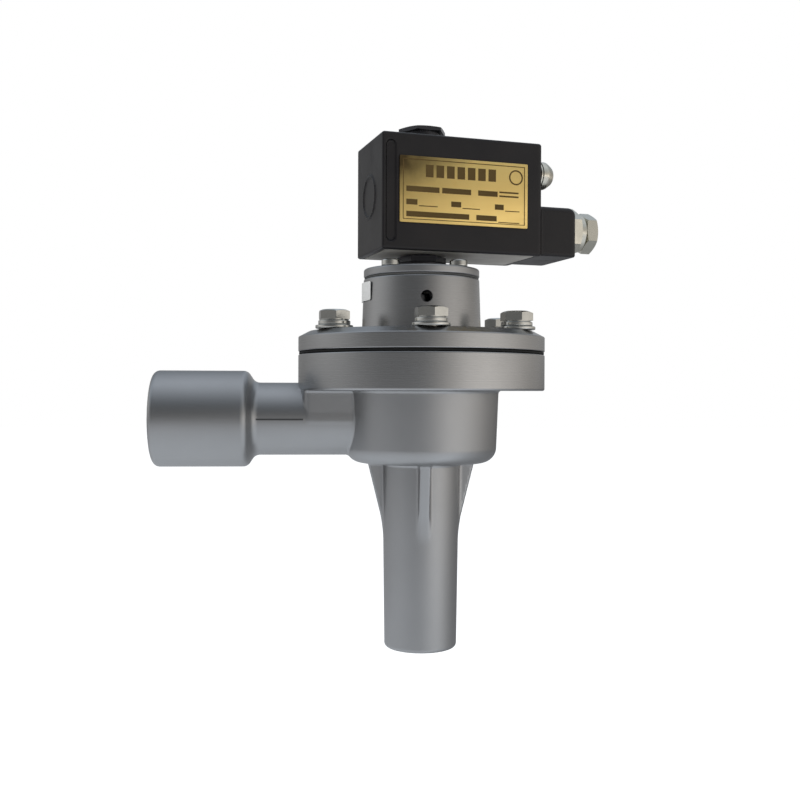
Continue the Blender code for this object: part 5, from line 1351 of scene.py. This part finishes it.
@dataclass
class Stem:
    """The armature tube with its hexagon foot, and the low black nut on top of the coil."""

    base: float = 168.4
    base_r: float = 11.3
    base_thick: float = 2.8
    collar_r: float = 8.5
    spigot_r: float = 6.0
    spigot: float = 1.8
    hex_across: float = 19.0
    hex_top: float = 174.1
    hex_bore_r: float = 5.7
    hex_crown_r: float = 9.0
    hex_drop: float = 0.5
    tube_r: float = 6.75
    bore_r: float = 4.7
    core: float = 198.1
    head: float = 221.4
    stud_r: float = 3.9
    stud_top: float = 228.4
    neck_r: float = 8.2
    neck: float = 3.3
    cap_across: float = 19.0
    cap_crown_r: float = 9.3

    def build(self) -> None:
        """Makes the tube and the cap nut."""
        base_top, foot = self.base + self.base_thick, self.base - self.spigot
        collar = self.hex_top - 1.0
        tube = turned("armature_tube_turned", [
            (0, self.stud_top), (self.stud_r, self.stud_top, 0.6), (self.stud_r, self.head),
            (self.tube_r, self.head, 0.6), (self.tube_r, collar), (self.collar_r, collar),
            (self.collar_r, base_top, 0.3), (self.base_r, base_top, 0.7), (self.base_r, self.base, 0.3),
            (self.spigot_r, self.base), (self.spigot_r, foot, 0.3), (self.bore_r, foot),
            (self.bore_r, self.core), (0, self.core)], 96)
        hexed = hexagon("tube_hexagon", self.hex_across, self.base + 1.4, self.hex_top, self.hex_crown_r,
                        self.hex_drop)
        bore = hole("tube_hexagon_bore", self.hex_bore_r, self.base, self.hex_top + 1.0, steps=48)
        combined(tube, Operation.JOIN, combined(hexed, Operation.CUT, bore))
        dressed(tube, OXIDE, replaces=["armature_tube"])
        low, high = (corner.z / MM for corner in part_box("cap_nut"))
        cap = hexagon("cap_nut_turned", self.cap_across, low + self.neck, high - 0.01, self.cap_crown_r, 0.3,
                      COIL_PLACE, True)
        neck_top = low + self.neck + 1.0
        neck = turned("cap_neck", [(0, neck_top), (self.neck_r, neck_top), (self.neck_r, low, 0.3), (0, low)])
        combined(cap, Operation.JOIN, neck)
        thread = hole("cap_thread", self.stud_r + 0.3, low - 1.0, self.stud_top + 0.3, steps=48)
        dressed(combined(cap, Operation.CUT, thread), OXIDE, replaces=["cap_nut"])


@dataclass
class CoilBox:
    """The black coil box, its brass plate and the earth screw, drawn before the coil's turn."""

    left: float = -24.4
    right: float = 50.0
    half_depth: float = 19.6
    side_round: float = 2.0
    edge_round: float = 0.8
    low: float = 174.4
    high: float = 224.2
    wall: float = 2.6
    entry_end: float = 68.2
    entry_half_depth: float = 17.5
    entry_top: float = 197.2
    entry_foot: float = 174.9
    entry_round: float = 3.6
    entry_side_round: float = 2.4
    gland: float = 188.6
    gland_hole_r: float = 6.7
    stud_hole_r: float = 4.2
    earth_y: float = -12.4
    earth: float = 211.4
    earth_hole_r: float = 2.3
    earth_washer_r: float = 6.0
    earth_washer_thick: float = 0.8
    earth_head_r: float = 6.2
    earth_head: float = 6.4
    earth_screw_r: float = 2.0
    groove_x: float = -20.5
    groove_half: float = 2.1
    groove_length: float = 43.0
    groove_depth: float = 0.8
    ring_r: float = 9.0
    plate_left: float = -16.9
    plate_right: float = 42.4
    plate_low: float = 186.0
    plate_high: float = 214.3
    plate_foot: float = 0.2
    plate_thick: float = 0.52
    mark_thick: float = 0.07
    cell: float = 0.8

    def solid(self, x: Array, y: Array, z: Array) -> Array:
        """Returns the distance to the moulded box."""
        across = np.abs(y)
        middle, half_height = (self.low + self.high) / 2, (self.high - self.low) / 2
        box = round_overlap(across - self.half_depth, x - self.right, self.side_round)
        box = round_overlap(box, self.left - x, self.edge_round)
        box = round_overlap(box, np.abs(z - middle) - half_height, 1.0)
        entry = round_overlap(x - self.entry_end, z - self.entry_top, self.entry_round)
        entry = round_overlap(entry, across - self.entry_half_depth, self.entry_side_round)
        entry = round_overlap(entry, self.entry_foot - z, 1.0)
        solid = round_union(box, np.maximum(entry, self.right - 2.0 - x), 1.2)
        ring_edge = np.abs(np.hypot(y, z - middle) - self.ring_r) - 0.5
        raised = round_overlap(ring_edge, self.left - 0.5 - x, 0.25)
        solid = round_union(solid, np.maximum(raised, x - self.left - 1.0), 0.3)
        run = np.maximum(np.abs(z - middle) - self.groove_length / 2 + self.groove_half, 0.0)
        slot = np.hypot(x - self.groove_x, run) - self.groove_half
        slot = round_overlap(slot, y + self.half_depth - self.groove_depth, 0.3)
        solid = round_overlap(solid, -slot, 0.35)
        inner = across - self.half_depth + self.wall
        for side in (x - self.right, self.left - x, z - self.high):
            inner = round_overlap(inner, side + self.wall, self.edge_round)
        solid = round_overlap(solid, -inner, 0.4)
        stud = np.maximum(np.hypot(x, y) - self.stud_hole_r, self.high - 8.0 - z)
        holes = [np.maximum(np.hypot(y - middle_y, z - height) - radius, self.right - 8.0 - x)
                 for middle_y, height, radius in ((0.0, self.gland, self.gland_hole_r),
                                                  (self.earth_y, self.earth, self.earth_hole_r))]
        return overlap(solid, -stud, *(-way for way in holes))

    @staticmethod
    def lying(y: float, z: float) -> Matrix:
        """Returns the place of a piece whose axis points to the coil's +X."""
        return COIL_PLACE @ at(0.0, y, z) @ turn(90.0, "Y")

    def front(self, offset: float) -> Matrix:
        """Returns the place of something drawn in X and Z on the box's front, offset outwards."""
        return COIL_PLACE @ at(0.0, -self.half_depth - offset, 0.0) @ turn(90.0, "X")

    def build(self) -> None:
        """Makes the box and what is fixed on its faces."""
        box = meshed_field("coil_box", self.solid, (self.left - 2.0, -self.half_depth - 1.5, self.low - 1.5),
                           (self.entry_end + 1.5, self.half_depth + 1.5, self.high + 1.5), self.cell,
                           COIL_PLACE)
        dressed(box, ENAMEL, Body.COIL, ["coil_housing"])
        self.plate()
        start, place = self.right + 0.2, self.lying(self.earth_y, self.earth)
        washer = ring("earth_washer_turned", self.earth_washer_r, self.earth_hole_r, start,
                      start + self.earth_washer_thick, (0.2, 0.2, 0.0, 0.0), 64, place)
        dressed(washer, NICKEL, Body.COIL, ["earth_washer"])
        head, tip = start + 1.0, self.right - 6.6
        screw = turned("earth_screw_turned", [
            (0, head + self.earth_head), (3.4, head + self.earth_head, 3.4),
            (self.earth_head_r, head + 2.6, 3.0), (self.earth_head_r, head, 0.2), (self.earth_screw_r, head),
            (self.earth_screw_r, tip, 0.2), (0, tip)], 64, place)
        dressed(screw, NICKEL, Body.COIL, ["earth_screw"])

    def plate(self) -> None:
        """Makes the brass plate and its generic bars, fields, ring and border."""
        left, right, low, high = self.plate_left, self.plate_right, self.plate_low, self.plate_high
        top = self.plate_foot + self.plate_thick
        sheet = prism("brass_plate", oblong(left, right, low, high, 0.4), self.plate_foot, top,
                      self.front(0.0))
        dressed(softened(sheet, 0.12), BRASS, Body.COIL, ["nameplate"])
        across, down = (right - left) / 713.0, (high - low) / 365.0
        marks = [prism(f"bar_{k}", oblong(left + x0 * across, left + x1 * across, high - y1 * down,
                                          high - y0 * down), top, top + self.mark_thick, self.front(0.0))
                 for k, (x0, x1, y0, y1) in enumerate(self.bars())]
        marks.append(ring("plate_ring", 3.3, 2.7, 0.0, self.mark_thick, (0.0,) * 4, 64,
                          self.front(top) @ at(left + 645 * across, high - 80 * down, 0.0)))
        dressed(joined("plate_marks", marks), INK, Body.COIL)

    @staticmethod
    def bars() -> list[Corner]:
        """Returns the raised bars' (left, right, top, foot) in 713ths and 365ths of the plate."""
        bars = [(140 + 58 * k, 182 + 58 * k, 44, 112) for k in range(7)]
        bars += [(x0, x1, 166, 196) for x0, x1 in ((35, 215), (230, 390), (430, 540))]
        bars += [(550, 660, 164, 173), (550, 660, 186, 195)]
        for x0, x1, line_end in ((35, 95, 205), (280, 335, 440), (525, 575, 665)):
            bars += [(x0, x1, 238, 268), (x1 + 8, line_end, 270, 275)]
        bars += [(35, 380, 304, 334), (420, 535, 304, 334), (545, 665, 336, 341)]
        inset, line = 0.045 * 365, 4
        far_x, far_y = 713 - inset, 365 - inset
        bars += [(inset, far_x, inset, inset + line), (inset, far_x, far_y - line, far_y),
                 (inset, inset + line, inset, far_y), (far_x - line, far_x, inset, far_y)]
        return bars


@dataclass
class CableGland:
    """The bright cable gland in the end of the coil box."""

    box: CoilBox
    start: float = 68.4
    hex_length: float = 7.0
    hex_across: float = 19.4
    hex_crown_r: float = 9.6
    hex_turn: float = 4.0
    hex_bore_r: float = 8.2
    collar_r: float = 8.9
    collar: float = 2.6
    thread_r: float = 6.4
    bore_r: float = 4.8
    pocket_r: float = 7.2
    nut_across: float = 16.6
    nut_length: float = 6.16
    nut_crown_r: float = 7.6
    nut_turn: float = -3.0
    thread_start: float = 47.4
    seal_length: float = 5.6
    seal_bore_r: float = 4.4

    def build(self) -> None:
        """Makes the gland's body, seal, ring and nut."""
        place = self.box.lying(0.0, self.box.gland)
        start, hex_end = self.start, self.start + self.hex_length
        mouth = hex_end + self.collar
        seal_end = mouth - 1.2
        seal = seal_end - self.seal_length
        body = turned("gland_body_turned", [
            (self.collar_r, mouth, 0.3), (self.collar_r, start + 1.0), (self.thread_r, start + 1.0),
            (self.thread_r, self.thread_start, 0.5), (self.bore_r, self.thread_start, 0.3),
            (self.bore_r, seal - 0.2), (self.pocket_r, seal - 0.2), (self.pocket_r, mouth, 0.3)], 96, place)
        form = hexagon("gland_hexagon", self.hex_across, start, hex_end, self.hex_crown_r, 0.8,
                       place @ turn(self.hex_turn), True)
        bore = hole("gland_hexagon_bore", self.hex_bore_r, start - 1.0, hex_end + 2.0, place, 64)
        combined(body, Operation.JOIN, combined(form, Operation.CUT, bore))
        dressed(body, NICKEL, Body.COIL, ["gland_body"])
        fit_r = self.pocket_r - 0.2
        rubber = ring("gland_seal_moulded", fit_r, self.seal_bore_r, seal, seal_end, (0.6, 0.3, 0.4, 0.4), 72,
                      place)
        dressed(rubber, RUBBER, Body.COIL, ["gland_seal"])
        pressure = ring("gland_ring_turned", fit_r, self.bore_r, mouth - 1.0, mouth, (0.1, 0.1, 0.1, 0.2), 72,
                        place)
        dressed(pressure, NICKEL, Body.COIL, ["gland_ring"])
        low = mouth + 0.2
        high = low + self.nut_length
        nut = hexagon("gland_nut_turned", self.nut_across, low, high, self.nut_crown_r, 0.9,
                      place @ turn(self.nut_turn), True)
        way = turned("gland_nut_way", [(0, high + 1.0), (self.bore_r + 1.4, high + 1.0),
                                       (self.bore_r, high - 0.6), (self.bore_r, low - 1.0), (0, low - 1.0)],
                     64, place)
        dressed(combined(nut, Operation.CUT, way), NICKEL, Body.COIL, ["gland_nut"])


@dataclass
class CarriedParts:
    """The CAD nodes that keep their own shape, with the finish of each."""

    finishes: dict[str, Finish] = field(default_factory=lambda: {
        "tube_seal": RUBBER, "cap_washer": RUBBER, "plunger_seal": RUBBER,
        "seat_disc": NYLON, "pilot_disc": NYLON, "bobbin": NYLON, "terminal_block": NYLON,
        "backing_plate": STAINLESS, "pilot_plate": STAINLESS, "plunger": STAINLESS,
        "hub_screw": ZINC, "hub_nut": ZINC, "pilot_rivet": ZINC,
        "base_plate": RESIN, "winding": COPPER, "yoke": IRON,
    })

    def build(self) -> None:
        """Gives each carried node its material."""
        for name, finish in self.finishes.items():
            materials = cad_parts[name].data.materials
            materials.clear()
            materials.append(finish.material())
            LOG.info("%s keeps its solid, %s", name, finish.name)


@dataclass
class Studio:
    """The floor, the lamps, the reflected surroundings, the background and the camera."""

    eye: Corner = (-40.66, -453.51, 114.66)
    azimuth: float = -3.937
    elevation: float = 0.569
    roll: float = 0.207
    focal: float = 1015.3
    sensor: float = 36.0
    frame_px: float = 800.0
    world_light: float = 0.6
    floor: float = -0.13
    floor_half: float = 6.0
    dome_r: float = 2.2
    dome_z: float = 0.1
    dome_steps: int = 72
    warm: Corner = (1.05, 1.0, 0.94)
    cool: Corner = (0.86, 0.98, 1.12, 1.0)
    top: Corner = (0.80, 0.865, 0.96, 1.0)
    # Floor tones seen only in gloss: a painted pool of light towards the middle and painted light and shade
    # by bearing.
    table_far: Corner = (0.94, 0.97, 1.03, 1.0)
    table_near: Corner = (1.24, 1.32, 1.42, 1.0)
    stations: Corner = (-180.0, -147.0, -106.0, -80.0, -57.0, -37.0, -18.0, 0.0, 18.0, 37.0, 57.0, 80.0,
                        106.0, 147.0, 180.0)
    table: Corner = (0.5, 0.6, 0.72, 0.7, 0.68, 0.66, 0.62, 0.64, 0.74, 0.84, 0.8, 0.46, 0.28, 0.2, 0.5)
    rings: dict[float, Corner] = field(default_factory=lambda: {
        -3.0: (0.20, 0.12, 0.22, 0.20, 0.20, 0.20, 0.20, 0.28, 0.82, 1.45, 1.55, 1.08, 0.34, 0.08, 0.20),
        2.0: (0.34, 0.34, 0.66, 0.52, 0.32, 0.21, 0.19, 0.25, 0.65, 1.22, 1.28, 1.12, 0.74, 0.30, 0.34),
        8.0: (0.34, 0.30, 0.70, 0.56, 0.22, 0.13, 0.13, 0.15, 0.23, 0.46, 0.60, 0.57, 0.35, 0.45, 0.60),
    })

    def build(self) -> None:
        """Makes the whole studio."""
        self.ground()
        self.world()
        self.lamp("sky", (-0.1, -0.3, 1.3), (1.2, 1.0), 3.0, (0.90, 0.95, 1.0))
        self.lamp("key", (1.1, -1.0, 0.5), (0.8, 1.0), 3.0, (1.0, 0.985, 0.96))
        self.lamp("fill", (-1.3, -0.6, 0.4), (0.6, 0.9), 2.6, (1.0, 1.0, 1.0))
        self.surroundings()
        self.camera()

    @staticmethod
    def seen(sheet: Sheet, *rays: str) -> Socket:
        """Returns 1 where the surface is seen by one of the named kinds of ray."""
        path = sheet.add("ShaderNodeLightPath").outputs
        return sheet.math("MINIMUM", sheet.plus(*(path[ray] for ray in rays)), 1.0)

    @staticmethod
    def bearing(sheet: Sheet, place: Any) -> Socket:
        """Returns the direction round the valve, from the front and positive to the right."""
        return sheet.math("ARCTAN2", place[0], sheet.times(place[1], -1.0))

    def ground(self) -> None:
        """Makes the pale floor under the valve, which hangs on its pipe; in gloss it shows a painted pool of
        light and painted bands.
        """
        mesh = bpy.data.meshes.new("floor")
        corners = oblong(-self.floor_half, self.floor_half, -self.floor_half, self.floor_half)
        mesh.from_pydata([(x, y, self.floor) for x, y, _ in corners], [], [(0, 1, 2, 3)])
        material = bpy.data.materials.new("pale_floor")
        material.use_nodes = True
        sheet = Sheet(material.node_tree)
        # For glossy rays: painted pool of light in the middle, painted bands by bearing, and a faint glow.
        distance = sheet.add("ShaderNodeVectorMath", {0: sheet.spot()}, operation="LENGTH").outputs["Value"]
        lighter = sheet.mix(sheet.ramp(distance, 0.8, 0.2), self.table_far, self.table_near)
        table = self.ring(sheet, self.bearing(sheet, sheet.split(sheet.spot())), self.table, WHITE)
        mirrored = sheet.mix(1.0, table, lighter, "MULTIPLY")
        glossy = self.seen(sheet, "Is Glossy Ray")
        given = {
            "Base Color": sheet.mix(glossy, (0.88, 0.90, 0.93, 1.0), mirrored),
            "Roughness": 0.9, "Specular IOR Level": 0.0, "Emission Color": WHITE,
            "Emission Strength": sheet.plus(sheet.times(self.seen(sheet, "Is Camera Ray"), 0.55),
                                            sheet.times(glossy, 0.10))}
        for key, value in given.items():
            sheet.give(material.node_tree.nodes["Principled BSDF"].inputs[key], value)
        mesh.materials.append(material)
        linked("floor", mesh)

    def world(self) -> None:
        """Makes the background white to the eye and in metal, and a soft grey light elsewhere."""
        world = bpy.data.worlds.new("studio")
        bpy.context.scene.world = world
        world.use_nodes = True
        sheet = Sheet(world.node_tree)
        seen = self.seen(sheet, "Is Camera Ray", "Is Glossy Ray", "Is Transmission Ray")
        back = world.node_tree.nodes["Background"].inputs
        sheet.give(back["Color"], WHITE)
        sheet.give(back["Strength"], sheet.ramp(seen, 0.0, 1.0, self.world_light, 1.0))

    @staticmethod
    def lamp(name: str, place: Corner, size: Corner, power: float, colour: Corner) -> None:
        """Adds a soft lamp, whose own shape stays out of the metal's reflections.

        Args:
            name: The lamp's name.
            place: Where it stands, in metres.
            size: Its width and height.
            power: Its power in watts.
            colour: The colour of its light.
        """
        data = bpy.data.lights.new(name, "AREA")
        data.shape = "RECTANGLE"
        data.size, data.size_y = size
        data.energy = power
        data.color = colour
        lamp = linked(name, data)
        lamp.visible_glossy = False
        way = Vector((0.0, 0.0, 0.12)) - Vector(place)
        lamp.matrix_world = Matrix.Translation(place) @ way.to_track_quat("-Z", "Y").to_matrix().to_4x4()

    def surroundings(self) -> None:
        """Adds the dark room that only shows in gloss, to give the metal its bands."""
        shape = bmesh.new()
        rows = []
        for elevation in range(-6, 85, 6):
            angle = math.radians(elevation)
            rows.append(ring_of_points(shape, self.dome_r * math.cos(angle),
                                       self.dome_z + self.dome_r * math.sin(angle), self.dome_steps))
        skinned(shape, rows[::-1])
        shape.faces.new(rows[-1])
        mesh = bpy.data.meshes.new("surroundings")
        shape.to_mesh(mesh)
        shape.free()
        mesh.materials.append(self.room())
        dome = linked("surroundings", mesh)
        for ray in ("camera", "diffuse", "shadow", "transmission"):
            setattr(dome, f"visible_{ray}", False)

    def room(self) -> bpy.types.Material:
        """Returns the room's material, darker and lighter round the horizon and blue overhead."""
        material = bpy.data.materials.new("surroundings")
        material.use_nodes = True
        material.node_tree.nodes.clear()
        sheet = Sheet(material.node_tree)
        place = sheet.split(sheet.spot())
        azimuth = self.bearing(sheet, place)
        height = sheet.math("SUBTRACT", place[2], self.dome_z)
        climb = sheet.times(sheet.math("ARCTAN2", height, sheet.radius(place)), math.degrees(1.0))
        colour, below = None, 0.0
        for level, values in sorted(self.rings.items()):
            band = self.ring(sheet, azimuth, values, self.warm)
            colour = sheet.mix(sheet.ramp(climb, below, level), colour, band) if colour else band
            below = level
        cool = sheet.mix(1.0, colour, self.cool, "MULTIPLY")
        colour = sheet.mix(sheet.ramp(climb, 14.0, 34.0), colour, cool)
        colour = sheet.mix(sheet.ramp(climb, 34.0, 84.0), colour, self.top)
        glow = sheet.add("ShaderNodeEmission", {"Color": colour, "Strength": 1.0})
        sheet.add("ShaderNodeOutputMaterial", {"Surface": glow.outputs[0]})
        return material

    def ring(self, sheet: Sheet, azimuth: Socket, values: Corner, tint: Corner) -> Socket:
        """Returns the colour round the valve at one height, with its own tint on the right."""
        ramp = sheet.add("ShaderNodeValToRGB", {0: sheet.ramp(azimuth, -math.pi, math.pi)})
        elements = ramp.color_ramp.elements
        for _ in range(len(values) - 2):
            elements.new(0.5)
        for stop, degrees, value in zip(elements, self.stations, values):
            stop.position = (degrees + 180.0) / 360.0
            shade = tint if 10.0 < degrees < 120.0 else WHITE
            stop.color = (*(value * part for part in shade[:3]), 1.0)
        return ramp.outputs[0]

    def camera(self) -> None:
        """Adds the camera at the photograph's viewing angle."""
        data = bpy.data.cameras.new("camera")
        data.sensor_width = self.sensor
        data.lens = self.focal * self.sensor / self.frame_px
        data.clip_start = 0.01
        azimuth, elevation, roll = (math.radians(v) for v in (self.azimuth, self.elevation, self.roll))
        right = Vector((math.cos(azimuth), math.sin(azimuth), 0.0))
        back = Vector((math.sin(azimuth) * math.cos(elevation), -math.cos(azimuth) * math.cos(elevation),
                       math.sin(elevation)))
        up = back.cross(right)
        side = right * math.cos(roll) + up * math.sin(roll)
        top = up * math.cos(roll) - right * math.sin(roll)
        matrix = Matrix((side, top, back)).transposed().to_4x4()
        matrix.translation = Vector(self.eye) * MM
        camera = linked("camera", data)
        camera.matrix_world = matrix
        bpy.context.scene.camera = camera


def main() -> None:
    """Builds the looks in order."""
    logging.basicConfig(level=logging.INFO, format="%(name)s: %(message)s")
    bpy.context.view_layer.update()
    bpy.context.scene.view_settings.view_transform = "Standard"
    copies = RingOfCopies()
    ridge = ThreadRidge()
    CastBody().build(ridge)
    Bonnet().build()
    Fasteners().build(copies)
    Diaphragms().build()
    Stem().build()
    coil_box = CoilBox()
    coil_box.build()
    CableGland(coil_box).build()
    CarriedParts().build()
    Studio().build()
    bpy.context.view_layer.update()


if __name__ == "__main__":
    main()
